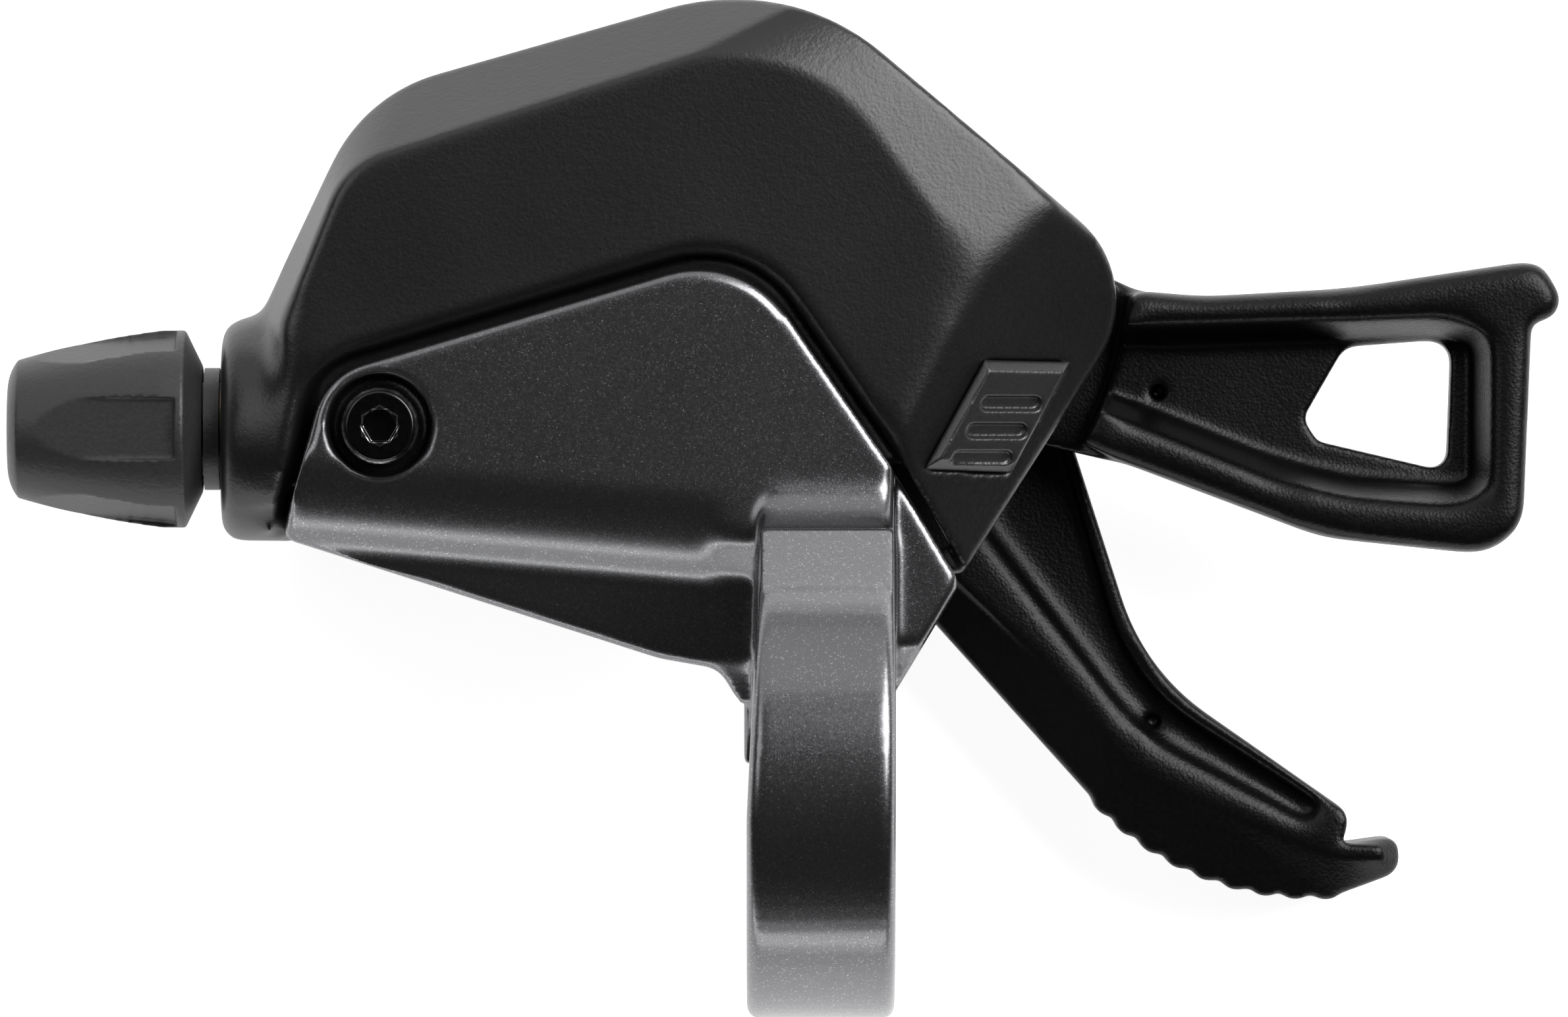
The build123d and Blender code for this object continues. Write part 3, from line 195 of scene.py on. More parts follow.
# %% Patterns of a finish
class Finish(Nodes):
    """A material whose nodes are added one by one."""

    def __init__(self, name, **constants):
        self.material = bpy.data.materials.new(name)
        self.material.use_nodes = True
        super().__init__(self.material.node_tree)
        self.shader = self.tree.nodes["Principled BSDF"]
        for socket, value in constants.items():
            self.shader.inputs[socket.replace("_", " ")].default_value = value
        self.place = self.node("ShaderNodeTexCoord", out="Object")

    def noise(self, size, detail=2.0, rough=0.5):
        """Smooth noise with bumps of about this size, from 0 to 1."""
        return self.node(
            "ShaderNodeTexNoise",
            None,
            {"Vector": self.place, "Scale": 1 / size, "Detail": detail, "Roughness": rough},
        )

    def cells(self, size, out="Color"):
        """Cells of about this size, each with a random colour or a distance to its centre."""
        return self.node("ShaderNodeTexVoronoi", None, {"Vector": self.place, "Scale": 1 / size}, out)

    def ramp(self, field, low, high):
        """0 below low, 1 above high."""
        return self.node(
            "ShaderNodeMapRange",
            {"clamp": True},
            {"Value": field, "From Min": low, "From Max": high},
        )

    def blend(self, factor, first, second):
        """Colour between two colours."""
        return self.node(
            "ShaderNodeMix",
            {"data_type": "RGBA"},
            {0: factor, 6: (*first, 1) if isinstance(first, tuple) else first,
             7: (*second, 1) if isinstance(second, tuple) else second},
            out=2,
        )

    def from_axis(self, centre):
        """Vector from an upright axis to each point, without its height."""
        offset = self.node("ShaderNodeVectorMath", {"operation": "SUBTRACT"}, {0: self.place, 1: centre})
        return self.node("ShaderNodeVectorMath", {"operation": "MULTIPLY"}, {0: offset, 1: (1.0, 1.0, 0.0)})

    def length(self, vector):
        return self.node("ShaderNodeVectorMath", {"operation": "LENGTH"}, {0: vector}, "Value")

    def bump(self, height, depth, strength=1.0):
        """Normal of a surface with this height pattern, as deep as depth in metres."""
        return self.node(
            "ShaderNodeBump",
            None,
            {"Strength": strength, "Distance": depth, "Height": height},
        )

    def feed(self, **inputs):
        for name, value in inputs.items():
            self.tree.links.new(value.socket, self.shader.inputs[name.replace("_", " ")])
        return self.material


print("finishes ready")

# %% [markdown]
# ## Moulded plastic with a spark-eroded grain
# The cover and the lower shell are injection moulded. The steel mould is eroded by sparks, which leaves a fine
# even grain of about a fifth of a millimetre. It scatters the highlights, so the black looks soft and dry. Two noise
# sizes make the grain, and a third, much larger, lets the sheen drift a little over the part.


# %% Plastics
def moulded_plastic(name, shade, grain_size, grain_depth, roughness, ior=1.49):
    finish = Finish(name, IOR=ior)
    grain = finish.noise(grain_size, 3.0, 0.6)
    pits = finish.noise(grain_size * 2.7, 2.0)
    cloud = finish.noise(9 * MM, 1.0)
    tone = finish.blend(
        finish.ramp(grain * 0.6 + cloud * 0.4, 0.3, 0.7),
        tuple(shade * c * 0.8 for c in (1.0, 1.0, 1.02)),
        tuple(shade * c * 1.2 for c in (1.0, 1.0, 1.02)),
    )
    return finish.feed(
        Base_Color=tone,
        Roughness=(grain - 0.5) * 0.12 + (cloud - 0.5) * 0.06 + roughness,
        Normal=finish.bump(grain * 0.7 + pits * 0.5, grain_depth),
    )


cover_plastic = moulded_plastic("cover_plastic", 0.008, 0.22 * MM, 0.026 * MM, 0.34, ior=1.66)
plug_plastic = moulded_plastic("plug_plastic", 0.02, 0.2 * MM, 0.018 * MM, 0.34, ior=1.8)
knob_plastic = moulded_plastic("knob_plastic", 0.036, 0.24 * MM, 0.034 * MM, 0.42, ior=1.6)
acetal = moulded_plastic("natural_acetal", 0.42, 0.4 * MM, 0.01 * MM, 0.38)
print("plastics:", cover_plastic.name, plug_plastic.name, knob_plastic.name, acetal.name)

# %% [markdown]
# ## Lever plastic with a leather grain
# Fingers need grip, so the levers carry a leathery grain: small rounded pads with creases between them.
# Voronoi cells give the pads, and noise breaks up their edges.


# %% Leather grain
def leather_grain(name, shade):
    finish = Finish(name, IOR=1.4)
    pads = finish.cells(0.2 * MM, "Distance")
    crumple = finish.noise(0.3 * MM, 3.0)
    cloud = finish.noise(7 * MM, 1.0)
    height = finish.ramp(pads, 0.1, 0.75) * -0.6 + crumple * 0.7
    tone = finish.blend(
        finish.ramp(crumple, 0.3, 0.75),
        tuple(shade * c for c in (0.85, 0.85, 0.88)),
        tuple(shade * c for c in (1.2, 1.2, 1.22)),
    )
    return finish.feed(
        Base_Color=tone,
        Roughness=(crumple - 0.5) * 0.15 + (cloud - 0.5) * 0.08 + 0.36,
        Normal=finish.bump(height, 0.024 * MM, 0.7),
    )


lever_plastic = leather_grain("lever_plastic", 0.0025)
print("levers:", lever_plastic.name)

# %% [markdown]
# ## Flake paint on the die-casting
# The bracket is cast in aluminium and sprayed in graphite with fine metal flakes under a clear lacquer. Each flake
# is a tiny mirror that lies at its own angle, so only a few of them sparkle at once. Small Voronoi cells stand for
# the flakes: a random value picks those that catch the light, and the clear lacquer is the shader's coat. A mask
# round the screw's axis paints shade into the screw's dish: near black colour, less metal and no coat there.

# %% Paint
SCREW_AT = (-27.3 * MM, 22.0 * MM, 0.0)


def flake_paint(name, shade, bore_at, bore_radius):
    finish = Finish(name, IOR=1.5, Coat_Roughness=0.12)
    flake_colour = finish.cells(0.07 * MM)
    flake = finish.node("ShaderNodeSeparateColor", None, {0: flake_colour}, "Red")
    tilt = finish.node("ShaderNodeSeparateColor", None, {0: flake_colour}, "Green")
    cloud = finish.noise(6 * MM, 1.0)
    peel = finish.noise(0.9 * MM, 2.0)
    caught = finish.ramp(flake, 0.93, 1.0)
    tone = finish.blend(
        caught,
        tuple(shade * c for c in (1.0, 1.0, 1.04)),
        tuple(shade * c for c in (2.2, 2.2, 2.3)),
    )
    spread = finish.length(finish.from_axis(bore_at))
    # painted shade: the dish round the screw is coloured near black and loses its coat and half its metal
    painted_dish_shade = finish.ramp(spread, bore_radius + 0.15 * MM, bore_radius - 0.1 * MM)
    return finish.feed(
        Base_Color=finish.blend(painted_dish_shade, tone, (0.012, 0.012, 0.013)),
        Coat_Weight=0.2 - painted_dish_shade * 0.2,
        Metallic=caught * 0.03 + 0.96 - painted_dish_shade * 0.5,
        Roughness=tilt * 0.06 + (cloud - 0.5) * 0.02 + 0.23,
        Normal=finish.bump(peel * 0.25 + flake * 0.2, 0.006 * MM),
    )


bracket_paint = flake_paint("bracket_paint", 0.22, SCREW_AT, 3.4 * MM)
print("paint:", bracket_paint.name)

# %% [markdown]
# ## Metals of the fasteners and the works
# The bolts are black oxide, the works zinc plated, the springs drawn wire and the insert turned brass. Stretched
# noise draws the fine lines that turning and drawing leave.


# %% Metals
def worked_metal(name, colour, roughness, line_size):
    finish = Finish(name, Metallic=1.0)
    stretched = finish.node(
        "ShaderNodeMapping", None, {"Vector": finish.place, "Scale": (1.0, 1.0, 9.0)}
    )
    lines = finish.node(
        "ShaderNodeTexNoise", None, {"Vector": stretched, "Scale": 1 / line_size, "Detail": 3.0}
    )
    cloud = finish.noise(3 * MM, 2.0)
    tone = finish.blend(
        lines * 0.5 + cloud * 0.5,
        tuple(c * 0.75 for c in colour),
        tuple(min(c * 1.25, 1.0) for c in colour),
    )
    return finish.feed(
        Base_Color=tone,
        Roughness=(lines - 0.5) * 0.25 + roughness,
        Normal=finish.bump(lines, 0.006 * MM),
    )


black_oxide = worked_metal("black_oxide", (0.14, 0.14, 0.145), 0.2, 0.3 * MM)
zinc_plate = worked_metal("zinc_plate", (0.6, 0.6, 0.61), 0.3, 0.4 * MM)
spring_wire = worked_metal("spring_wire", (0.5, 0.5, 0.5), 0.26, 0.3 * MM)
turned_brass = worked_metal("turned_brass", (0.62, 0.48, 0.22), 0.3, 0.35 * MM)
dark_anodised = worked_metal("dark_anodised", (0.05, 0.05, 0.053), 0.36, 0.3 * MM)
print("metals:", [m.name for m in (black_oxide, zinc_plate, spring_wire, turned_brass, dark_anodised)])

# %% [markdown]
# ## Painted highlight on the cover's screw
# The black screw gets a painted highlight, a bright and more reflective steel colour, on the rim of its head and
# along the six edges of its socket, broken up by noise. The distance from the screw's axis finds the rim. The largest
# of three distances, one for each pair of flats, finds the edges of the hexagon.


# %% Screw with a painted highlight
def highlit_screw(name, centre, rim, key_half):
    """Black screw with a painted highlight on the rim of its head and on the edges of its socket."""
    finish = Finish(name, Metallic=1.0)
    flat = finish.from_axis(centre)
    x = finish.node("ShaderNodeSeparateXYZ", None, {0: flat}, "X")
    y = finish.node("ShaderNodeSeparateXYZ", None, {0: flat}, "Y")
    hexagon = abs(x).most(abs(x * 0.5 + y * 0.866)).most(abs(x * 0.5 - y * 0.866))
    scuff = finish.noise(0.5 * MM, 3.0)
    rim_highlight = finish.ramp(finish.length(flat), rim - 0.24 * MM, rim - 0.14 * MM)
    socket_highlight = finish.ramp(abs(hexagon - (key_half + 0.08 * MM)), 0.08 * MM, 0.02 * MM)
    # painted highlight: the rim and the socket edges get a bright steel colour
    painted_highlight = rim_highlight.most(socket_highlight) * finish.ramp(scuff, 0.15, 0.55)
    tone = finish.blend(painted_highlight, (0.06, 0.06, 0.062), (0.6, 0.6, 0.61))
    return finish.feed(
        Base_Color=tone,
        Roughness=(scuff - 0.5) * 0.12 + 0.2,
        Normal=finish.bump(scuff, 0.003 * MM),
    )


screw_black = highlit_screw("screw_black", SCREW_AT, 2.42 * MM, 1.0 * MM)
print("screw:", screw_black.name)

# %% [markdown]
# ## Finishes on the solids that stay as they are
# A solid whose shape is right only needs a new material in its slots. The record names a finish for each piece, so
# a table from its slots to the materials dresses every solid at once.

# %% Dress the solids
slot_finish = {
    "bracket_paint": bracket_paint,
    "housing_plastic": cover_plastic,
    "plug_plastic": plug_plastic,
    "lever_plastic": lever_plastic,
    "knob_plastic": knob_plastic,
    "black_steel": black_oxide,
    "plated_steel": zinc_plate,
    "spring_steel": spring_wire,
    "spool_plastic": acetal,
    "brass": turned_brass,
    "alloy": dark_anodised,
}
own_finish = {"bracket_screw": screw_black}
node_slot = {row["node"]: row["material_slot"] for row in frame["record"]["subparts"]}
body_of_node = {
    node: body for body, members in frame["record"]["behaviour"]["bodies"].items() for node in members
}
for name, solid in nodes.items():
    solid.data.materials.clear()
    solid.data.materials.append(slot_finish[node_slot[name]])
print("dressed:", len(nodes))

# %% [markdown]
# ## Soft edges by remeshing
# No moulded or cast edge is sharp. A copy of the solid's mesh is rebuilt on a grid of small cubes, then smoothed, so
# that every edge gets a radius of a few tenths of a millimetre and every inner corner a small fillet. A last pass
# takes out points where the surface is flat. Bevelling the edges one by one would be sharper, but it stumbles where
# many small faces of a tessellated solid meet. The solids themselves stay untouched, so each piece starts as a copy.


# %% Copies and applied modifiers
def plain_copy(node, name):
    """A new object with a merged copy of a solid's mesh."""
    piece = bpy.data.objects.new(name, nodes[node].data.copy())
    scene.collection.objects.link(piece)
    work = bmesh.new()
    work.from_mesh(piece.data)
    bmesh.ops.remove_doubles(work, verts=work.verts, dist=0.002 * MM)
    work.to_mesh(piece.data)
    work.free()
    return piece


def applied(piece):
    """Turns the evaluated result of a piece's modifiers into its plain mesh."""
    evaluated = piece.evaluated_get(bpy.context.evaluated_depsgraph_get())
    mesh = bpy.data.meshes.new_from_object(evaluated)
    piece.modifiers.clear()
    piece.data = mesh
    return piece


print("copying ready")

# %% [markdown]
# ## Fillings that melt into a piece
# Some places of the real part are fatter than smoothing alone can make them, such as the saddle between the cover and
# its adjuster boss. A closed block laid into the mesh is enough there: the grid of cubes keeps only the outer skin,
# so that the block and the piece become one surface, and the smoothing then hides where they met.


# %% Melt blocks in
def melt_in(piece, blocks):
    """Adds closed blocks, each a pair of rings of points in mm, that the grid then melts into the piece."""
    work = bmesh.new()
    work.from_mesh(piece.data)
    for first, second in blocks:
        rings = [[work.verts.new(Vector(point) * MM) for point in ring] for ring in (first, second)]
        count = len(first)
        faces = [work.faces.new(rings[0]), work.faces.new(rings[1])]
        for i in range(count):
            j = (i + 1) % count
            faces.append(work.faces.new((rings[0][i], rings[0][j], rings[1][j], rings[1][i])))
        bmesh.ops.recalc_face_normals(work, faces=faces)
    work.to_mesh(piece.data)
    work.free()


print("melting ready")

# %% [markdown]
# ## Wide rounds along a line
# The bevels of the cover and the ribs of the levers have much wider rounds than the other edges. A Smooth modifier
# with a vertex group smooths only where the group says so. The helper weighs each point by its distance from a line,
# so that the round fades out gently on both sides. A small hole near the line can be spared.


# %% Relax along a line
def points_of(piece):
    """The places of a piece's points in mm, one row each."""
    places = np.empty(len(piece.data.vertices) * 3)
    piece.data.vertices.foreach_get("co", places)
    return places.reshape(-1, 3) / MM


def near_line(piece, start, end, reach):
    """For each point of a piece: 1 on the line between two places in mm, falling to 0 at reach.

    Places with X and Y only make a line that counts at every height.
    """
    points = points_of(piece)[:, : len(start)]
    start, way = np.array(start), np.array(end) - np.array(start)
    along = np.clip((points - start) @ way / (way @ way), 0, 1)
    gap = np.linalg.norm(points - start - along[:, None] * way, axis=1)
    near = np.clip(1.4 - 1.4 * gap / reach, 0, 1)
    return near * near * (3 - 2 * near)


def relax(piece, start, end, reach, passes, spare=None):
    """Smooths a piece along a line only, so that an edge there gets a wide round; a spared place stays."""
    weights = near_line(piece, start, end, reach)
    if spare:
        weights = weights * (1 - near_line(piece, spare, (spare[0], spare[1] + 0.01), 1.6))
    steps = np.round(weights * 10).astype(int)
    group = piece.vertex_groups.new(name="relax")
    for step in range(1, 11):
        group.add(np.flatnonzero(steps == step).tolist(), step / 10, "REPLACE")
    smooth = piece.modifiers.new("relax", "SMOOTH")
    smooth.vertex_group = group.name
    smooth.factor = 0.5
    smooth.iterations = passes
    applied(piece)
    piece.vertex_groups.clear()


print("relaxing ready")

# %% [markdown]
# ## The rolled fold of the plate
# The bracket's plate rolls over into a lower flange, and the roll is what catches the long highlight in the picture.
# How a highlight fades depends on how the slope changes, so the roll is given by its slopes: a table of degrees
# against the distance across the fold. Adding them up gives the height of each point of the surface there.

# %% Roll the fold
FOLD_AT = (-19.05, 15.0)
FOLD_ACROSS = (0.0846, 0.9964)
FOLD_TURNS = [-9.0, -2.3, -1.6, -0.9, -0.1, 1.0, 2.2, 3.2, 4.2, 9.0]
FOLD_SLOPES = [11.0, 11.0, 36.0, 48.0, 40.0, 30.0, 22.0, 14.0, 0.0, 0.0]
PLATE_Z, FLANGE_Z, FLANGE_END_Z = -5.0, -8.0, -9.5
FOLD_HALF = 1.2
NECK_X = -5.6


def roll_fold(piece):
    """Turns the flat fold of the plate into a round roll that drops to the flange."""
    points = points_of(piece)
    across = (points[:, 0] - FOLD_AT[0]) * FOLD_ACROSS[0] + (points[:, 1] - FOLD_AT[1]) * FOLD_ACROSS[1]
    flat = np.interp(across, [FOLD_TURNS[0], -FOLD_HALF, FOLD_HALF], [FLANGE_END_Z, FLANGE_Z, PLATE_Z])
    steps = np.linspace(FOLD_TURNS[0], FOLD_TURNS[-1], 361)
    slopes = np.tan(np.radians(FOLD_SLOPES))
    rise = np.cumsum(np.interp(steps, FOLD_TURNS, slopes)) * (steps[1] - steps[0])
    rolled = np.interp(across, steps, rise - rise[-1] + PLATE_Z)
    on_top = np.clip(1.6 - abs(points[:, 2] - flat) / 0.5, 0, 1)
    along = np.clip((NECK_X - points[:, 0]) / 1.6, 0, 1)
    in_roll = np.clip((across + 3.2) / 0.8, 0, 1) * np.clip((4.8 - across) / 0.8, 0, 1)
    points[:, 2] += (rolled - flat + (flat - points[:, 2]) * in_roll) * on_top * along
    piece.data.vertices.foreach_set("co", (points * MM).ravel())
    piece.data.update()


print("fold slopes in degrees:", FOLD_SLOPES)

# %% [markdown]
# ## One recipe for all soft pieces
# The steps always come in the same order: copy, melt the fillings in, rebuild on the grid, relax the wide rounds,
# smooth everything a little and thin out. The result then takes the place of its solid: it rides on the same body,
# and the solid is left out of the picture.


# %% The softening recipe
def soften(node, name, grid, passes, keep, blocks=(), soft_lines=()):
    piece = plain_copy(node, name)
    melt_in(piece, blocks)
    remesh = piece.modifiers.new("grid", "REMESH")
    remesh.mode = "VOXEL"
    remesh.voxel_size = grid
    applied(piece)
    if node == "bracket":
        roll_fold(piece)
    for line in soft_lines:
        relax(piece, *line)
    smooth = piece.modifiers.new("smooth", "SMOOTH")
    smooth.factor = 0.5
    smooth.iterations = passes
    thin = piece.modifiers.new("thin", "DECIMATE")
    thin.ratio = keep
    applied(piece)
    piece.data.polygons.foreach_set("use_smooth", [True] * len(piece.data.polygons))
    return piece


def stand_in(piece, node):
    """Puts a finished piece in a solid's place, on its body and with its finish."""
    slot = node_slot[node]
    piece.data.materials.clear()
    piece.data.materials.append(own_finish.get(node, slot_finish[slot]))
    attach(piece, body_of_node[node])
    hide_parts(node)
    print(piece.name, "faces:", len(piece.data.polygons))


print("softening ready")

# %% [markdown]
# ## Fillings and rounds of the cover
# The adjuster boss grows out of the cover's left side. A skirt, half a ring round the boss, closes the notch beside
# the bracket's plate, and a saddle, an arc that rises from the boss to the face, makes the two flow together. A strip
# at the plug's seat closes a seam of the grid. The lines then give the right facet and the boss their wide rounds.

# %% Cover
BOSS_Y, BOSS_Z = 21.84, -13.5
BOSS_RADIUS, SADDLE_RADIUS, BOSS_INNER = 6.95, 6.9, 4.9
GAP_LEAN = 0.271


def boss_section(outer, turns, lift=0.0):
    """Part of a ring round the boss, as places in Y and Z."""
    return [(BOSS_Y - radius * sin(a), BOSS_Z + radius * cos(a) + lift)
            for radius, order in ((outer, turns), (BOSS_INNER, turns[::-1])) for a in order]


skirt_section = boss_section(BOSS_RADIUS, [radians(a) for a in range(0, 181, 15)])
boss_skirt = (
    [(-36.5, y, z) for y, z in skirt_section],
    [(-33.9 + (y - 15.1) * GAP_LEAN, y, z) for y, z in skirt_section],
)
saddle_turn = [radians(a) for a in range(-48, 49, 12)]
saddle = (
    [(-36.6, y, z) for y, z in boss_section(SADDLE_RADIUS, saddle_turn)],
    [(-32.4 + (y - BOSS_Y) * GAP_LEAN, y, z) for y, z in boss_section(SADDLE_RADIUS, saddle_turn, 1.15)],
)


def facet_level(x, y):
    """Height of the cover's right facet."""
    return -5.3 - 0.594 * (x - 9.7) + 0.285 * (y - 31.6)


seat_outline = [(15.34, 26.14), (16.0, 25.79), (12.3, 18.89), (11.64, 19.24)]
seat_strip = (
    [(x, y, facet_level(x, y) - 0.03) for x, y in seat_outline],
    [(x, y, facet_level(x, y) - 2.5) for x, y in seat_outline],
)
cover_lines = [
    ((9.7, 31.6, -5.3), (1.7, 14.9, -5.3), 2.6, 86),
    ((9.7, 31.6, -5.3), (14.2, 36.4, -11.5), 4.5, 172),
    ((-35.4, 29.5, -13.0), (-35.0, 24.0, -6.6), 4.4, 158),
    ((-35.0, 24.0, -6.6), (-34.6, 15.5, -10.5), 4.4, 158),
    ((-33.4, 28.0, -5.5), (-32.4, 19.0, -5.5), 3.0, 86),
]
print("cover: fillings 3, lines", len(cover_lines))

# %% [markdown]
# ## Fillings and rounds of the casting
# A pad fills the flank where the clamp band's neck meets the web. Two strips square up the rims beside the cover,
# which the grid would round too far. The lines roll the coves at both sides of the neck, and a ring of short ones
# breaks the edge of the screw's dish.

# %% Casting
neck_profile = [(11.9, 8.3), (15.67, 3.9), (15.67, -6.0), (12.6, -6.0), (11.8, 1.0)]
neck_pad = ([(-3.7, y, z) for y, z in neck_profile], [(4.5, y, z) for y, z in neck_profile])
STRIP_WIDTH = 1.0


def rim_strip(start, end, low, high):
    """A strip on the right of a line, which squares a rounded rim up again."""
    way = Vector((end[0] - start[0], end[1] - start[1])).normalized()
    inner = (way.y * STRIP_WIDTH, -way.x * STRIP_WIDTH)
    outline = [start, end, (end[0] + inner[0], end[1] + inner[1]), (start[0] + inner[0], start[1] + inner[1])]
    return [(x, y, low) for x, y in outline], [(x, y, high) for x, y in outline]


plate_strip = rim_strip((-2.0, 28.8), (4.5, 19.4), -7.0, -5.02)
web_strip = rim_strip((4.7, 19.0), (8.5, 12.6), -10.5, -8.02)
DISH_RADIUS, DISH_EDGE_Z = 3.4, -5.2
dish_x, dish_y = SCREW_AT[0] / MM, SCREW_AT[1] / MM
dish_turn = [radians(a) for a in range(0, 361, 30)]
dish_rim = [(dish_x + DISH_RADIUS * cos(a), dish_y + DISH_RADIUS * sin(a), DISH_EDGE_Z) for a in dish_turn]
casting_lines = [
    ((-30.5, 16.2, -6.3), (-7.0, 14.2, -6.3), 3.6, 30),
    ((-4.6, 18.0, -5.4), (-5.2, 9.0, -8.4), 3.0, 70),
    ((5.2, 13.5, -8.0), (5.0, 6.0, -8.0), 2.4, 40),
] + [(first, second, 0.9, 6) for first, second in zip(dish_rim, dish_rim[1:])]
print("casting: fillings 3, lines", len(casting_lines))

# %% [markdown]
# ## Rounds of the levers
# Fingers press on the levers' rims and ribs, so these are full rounds. Each lever has a small moulded marker hole,
# which stays crisp because the lines spare it.

# %% Levers
PADDLE_HOLE, LOOP_HOLE = (21.0, 3.5), (21.2, 24.15)
paddle_lines = [
    ((9.9, 16.2), (20.2, 2.75), 2.6, 120, PADDLE_HOLE),
    ((20.2, 2.75), (30.9, -2.9), 2.6, 120, PADDLE_HOLE),
    ((19.0, 7.2), (31.6, -1.75), 1.6, 40, PADDLE_HOLE),
]
loop_lines = [
    ((22.0, 28.6), (40.0, 29.3), 2.4, 110, LOOP_HOLE),
    ((20.5, 30.3), (33.0, 30.7), 2.4, 110, LOOP_HOLE),
    ((33.0, 30.7), (44.0, 32.1), 2.4, 110, LOOP_HOLE),
    ((19.5, 19.6), (31.5, 15.1), 2.0, 80, LOOP_HOLE),
    ((31.5, 15.1), (42.5, 13.9), 2.0, 80, LOOP_HOLE),
    ((42.4, 27.0), (42.4, 18.0), 2.0, 70, LOOP_HOLE),
    ((41.0, 16.6), (28.5, 18.3), 2.4, 110, LOOP_HOLE),
    ((28.5, 18.3), (20.2, 21.6), 2.4, 110, LOOP_HOLE),
]
print("levers: lines", len(paddle_lines) + len(loop_lines))

# %% [markdown]
# ## The moulded and cast pieces
# Each piece is softened at a grid that suits its wall: fine for the small plug, knob and screw, coarser for the
# large ones. The columns are the solid, the new piece, the grid in mm, the smoothing passes, the share of faces that
# is kept, the fillings and the lines.

# %% Soften the visible pieces
softened = [
    ("upper_housing", "cover", 0.2, 13, 0.3, [boss_skirt, saddle, seat_strip], cover_lines),
    ("base_cap", "lower_shell", 0.3, 6, 0.3, [], []),
    ("bracket", "bracket_casting", 0.2, 9, 0.3, [neck_pad, plate_strip, web_strip], casting_lines),
    ("main_lever", "thumb_paddle", 0.2, 10, 0.4, [], paddle_lines),
    ("release_lever", "finger_loop", 0.2, 10, 0.4, [], loop_lines),
    ("inner_hole_cap", "hole_plug", 0.1, 14, 0.5, [], []),
    ("adjuster_knob", "barrel_knob", 0.13, 4, 0.4, [], []),
    ("bracket_screw", "socket_screw", 0.06, 2, 0.3, [], []),
]
for node, name, grid, passes, keep, blocks, lines in softened:
    stand_in(soften(node, name, grid * MM, passes, keep, blocks, lines), node)

# %% [markdown]
# ## Trees that grow a piece
# Geometry Nodes make what repeats. Each tree below has named sizes as its inputs, so another bolt needs other numbers
# only. The tree ends in Realize Instances and Set Material, and its result is made a plain mesh at once.

# %% A tree with named sizes
SOCKET_OF = {int: "NodeSocketInt", float: "NodeSocketFloat", tuple: "NodeSocketVector"}


class Tree(Nodes):
    """A Geometry Nodes tree whose nodes are added one by one."""

    def __init__(self, name, sizes):
        super().__init__(bpy.data.node_groups.new(name, "GeometryNodeTree"))
        self.sizes = sizes
        self.ids = {}
        for size, value in sizes.items():
            socket = self.tree.interface.new_socket(size, in_out="INPUT", socket_type=SOCKET_OF[type(value)])
            self.ids[size] = socket.identifier
        self.tree.interface.new_socket("Geometry", in_out="OUTPUT", socket_type="NodeSocketGeometry")
        self.entry = self.tree.nodes.new("NodeGroupInput")

    def size(self, name):
        return Field(self, self.entry.outputs[name])

    def grow(self, name, shape, material):
        """Ends the tree, runs it and returns a plain mesh object."""
        solid = self.node("GeometryNodeRealizeInstances", None, {"Geometry": shape})
        dressed = self.node("GeometryNodeSetMaterial", None, {"Geometry": solid, "Material": material})
        end = self.tree.nodes.new("NodeGroupOutput")
        self.tree.links.new(dressed.socket, end.inputs["Geometry"])
        piece = bpy.data.objects.new(name, bpy.data.meshes.new(name))
        modifier = piece.modifiers.new("grow", "NODES")
        modifier.node_group = self.tree
        for size, value in self.sizes.items():
            modifier[self.ids[size]] = value
        scene.collection.objects.link(piece)
        applied(piece)
        print(name, "faces:", len(piece.data.polygons))
        return piece


print("growing ready")

# %% [markdown]
# ## Knurl of the clamp bolt
# The bolt's head has a ring of small ridges for the fingers. A circle of points carries one four-sided ridge at each,
# turned so that an edge looks outwards.

# %% Knurl
bolt_low, bolt_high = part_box("clamp_bolt")
head_radius = (bolt_high.x - bolt_low.x) / 2
bolt_x, bolt_z = (bolt_low.x + bolt_high.x) / 2, (bolt_low.z + bolt_high.z) / 2
HEAD_LENGTH = 3.4 * MM
UPRIGHT_TO_Y = (radians(90), 0, 0)

knurl = Tree("knurl_ridges", {
    "Count": 48,
    "Radius": head_radius - 0.02 * MM,
    "Ridge": 0.16 * MM,
    "Length": HEAD_LENGTH - 1.2 * MM,
    "Place": (bolt_x, bolt_low.y + HEAD_LENGTH / 2 + 0.15 * MM, bolt_z),
})
circle = knurl.node("GeometryNodeMeshCircle", None, {
    "Vertices": knurl.size("Count"), "Radius": knurl.size("Radius")})
ridge = knurl.node("GeometryNodeMeshCylinder", None, {
    "Vertices": 4, "Radius": knurl.size("Ridge"), "Depth": knurl.size("Length")})
outwards = knurl.node("FunctionNodeAlignRotationToVector", {"axis": "X", "pivot_axis": "Z"}, {
    "Vector": knurl.node("GeometryNodeInputPosition")})
ring = knurl.node("GeometryNodeInstanceOnPoints", None, {
    "Points": circle, "Instance": ridge, "Rotation": outwards})
laid = knurl.node("GeometryNodeTransform", None, {
    "Geometry": ring, "Translation": knurl.size("Place"), "Rotation": UPRIGHT_TO_Y})
bolt_knurl = knurl.grow("bolt_knurl", laid, black_oxide)

# %% [markdown]
# ## Thread of the clamp bolt
# The bolt's shank shows in the slit of the band, and there its thread can be seen. A spiral carries a small
# four-sided profile.

# %% Thread
SHANK_RADIUS = 2.5 * MM
THREAD_PITCH = 0.8 * MM
SLIT_WIDTH = 2.2 * MM
SLIT_MIDDLE = -0.1 * MM

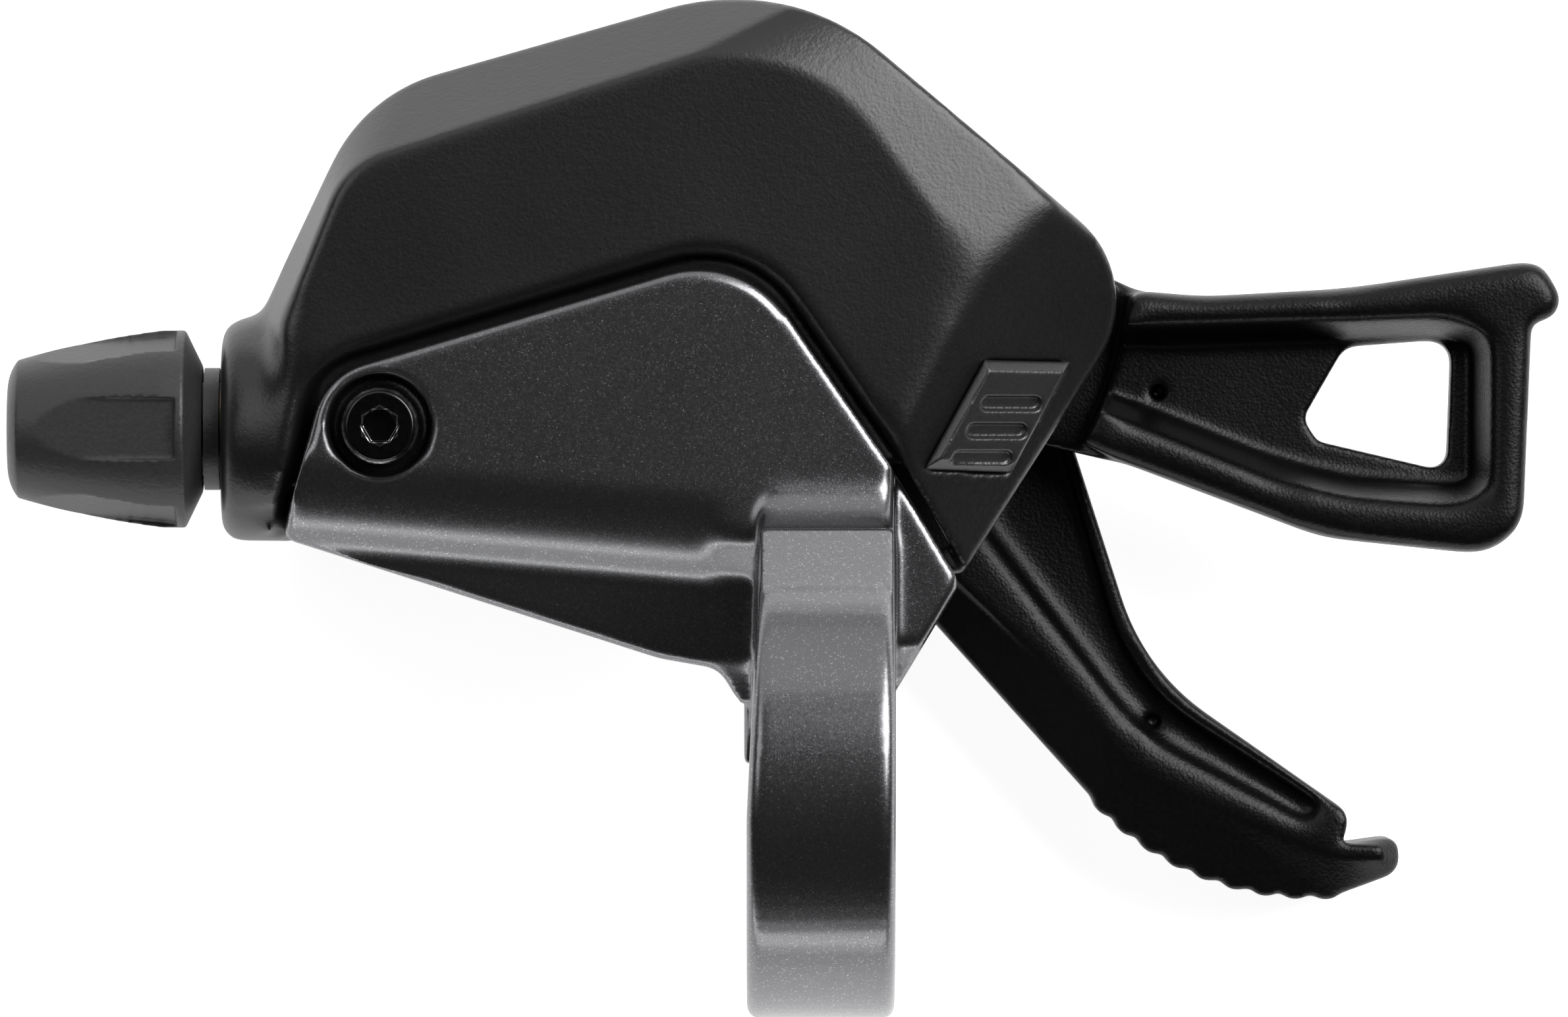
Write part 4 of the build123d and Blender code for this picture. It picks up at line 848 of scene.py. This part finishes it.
thread = Tree("bolt_thread", {
    "Turns": SLIT_WIDTH / THREAD_PITCH,
    "Radius": SHANK_RADIUS,
    "Ridge": 0.17 * MM,
    "Length": SLIT_WIDTH,
    "Place": (bolt_x, SLIT_MIDDLE + SLIT_WIDTH / 2, bolt_z),
})
spiral = thread.node("GeometryNodeCurveSpiral", None, {
    "Resolution": 48,
    "Rotations": thread.size("Turns"),
    "Start Radius": thread.size("Radius"),
    "End Radius": thread.size("Radius"),
    "Height": thread.size("Length"),
})
profile = thread.node("GeometryNodeCurvePrimitiveCircle", None, {
    "Resolution": 4, "Radius": thread.size("Ridge")})
swept = thread.node("GeometryNodeCurveToMesh", None, {
    "Curve": spiral, "Profile Curve": profile, "Fill Caps": True})
turned = thread.node("GeometryNodeTransform", None, {
    "Geometry": swept, "Translation": thread.size("Place"), "Rotation": UPRIGHT_TO_Y})
bolt_thread = thread.grow("bolt_thread", turned, black_oxide)
for piece in (bolt_knurl, bolt_thread):
    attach(piece, body_of_node["clamp_bolt"])

# %% [markdown]
# ## Floor
# The shifter lies above a plain white floor that keeps its shadow. A product photographer lights such a floor by
# itself until it is pure white. Here it glows for the camera, and more weakly for reflections, so that the paint
# mirrors a pale floor near the part and a darker one further off. The lamps on the part stay as they are.

# %% Floor
FLOOR_GAP = 0.4 * MM
FLOOR_SIZE = 6.0
floor_level = cad_box[0].z - FLOOR_GAP
floor_mesh = bpy.data.meshes.new("floor")
corner = FLOOR_SIZE / 2
floor_mesh.from_pydata(
    [(-corner, -corner, floor_level), (corner, -corner, floor_level),
     (corner, corner, floor_level), (-corner, corner, floor_level)],
    [],
    [(0, 1, 2, 3)],
)
floor = bpy.data.objects.new("floor", floor_mesh)
scene.collection.objects.link(floor)
floor_finish = Finish("floor_white", Roughness=0.9, Base_Color=(0.8, 0.8, 0.8, 1))
seen = floor_finish.node("ShaderNodeLightPath", out="Is Camera Ray")
mirrored = (
    floor_finish.node("ShaderNodeLightPath", out="Is Glossy Ray")
    + floor_finish.node("ShaderNodeLightPath", out="Is Transmission Ray")
)
near = 1.0 - floor_finish.ramp(floor_finish.length(floor_finish.place), 0.15, 0.9) * 0.65
glow = floor_finish.node("ShaderNodeEmission", None, {"Strength": seen * 0.9 + mirrored * near * 0.7})
floor_sum = floor_finish.node(
    "ShaderNodeAddShader", None, {0: Field(floor_finish, floor_finish.shader.outputs[0]), 1: glow}
)
floor_finish.tree.links.new(floor_sum.socket, floor_finish.tree.nodes["Material Output"].inputs[0])
floor_mesh.materials.append(floor_finish.material)
print("floor at mm:", round(floor_level / MM, 2))

# %% [markdown]
# ## World
# The studio round the table is pale near the horizon and nearly black overhead. Straight above it is dark, so faces
# that look at the camera stay deep black.

# %% World
world = bpy.data.worlds.new("studio")
scene.world = world
world.use_nodes = True
sky = Nodes(world.node_tree)
height = sky.node("ShaderNodeSeparateXYZ", None, {0: sky.node("ShaderNodeTexCoord", out="Generated")}, "Z")
fade = sky.node("ShaderNodeMapRange", None, {
    "Value": height, "From Min": 0.06, "From Max": 0.22, "To Min": 0.4, "To Max": 0.02})
background = sky.tree.nodes["Background"]
background.inputs["Color"].default_value = (1, 1, 1, 1)
sky.tree.links.new(fade.socket, background.inputs["Strength"])
print("world:", world.name)

# %% [markdown]
# ## Lamps
# Four soft lamps light the shifter. A key softbox at the upper right of the picture gives the right bevel its sheen.
# A long wall of light behind the upper edge draws the highlights of the top bevel, the fold and the clamp band. A
# card at the upper left lifts the boss, and a low strip at the lower edge lights the underside of the band.


# %% Lamps
def softbox(name, place, size, power):
    """An area lamp that looks at the middle of the shifter and isn't seen itself."""
    data = bpy.data.lights.new(name, "AREA")
    data.shape = "RECTANGLE"
    data.size, data.size_y = size
    data.energy = power
    lamp = bpy.data.objects.new(name, data)
    lamp.location = place
    lamp.rotation_euler = (view_centre - Vector(place)).to_track_quat("-Z", "Y").to_euler()
    lamp.visible_camera = False
    scene.collection.objects.link(lamp)
    print(name, "watts:", power)


softbox("key_softbox", (0.36, 0.3, 0.46), (0.46, 0.46), 3.9)
softbox("back_wall", (-0.15, 0.75, 0.4), (1.5, 0.6), 2.0)
softbox("left_card", (-0.6, 0.3, 0.75), (0.5, 0.5), 1.0)
softbox("front_strip", (-0.15, -0.8, 0.12), (1.2, 0.12), 1.2)
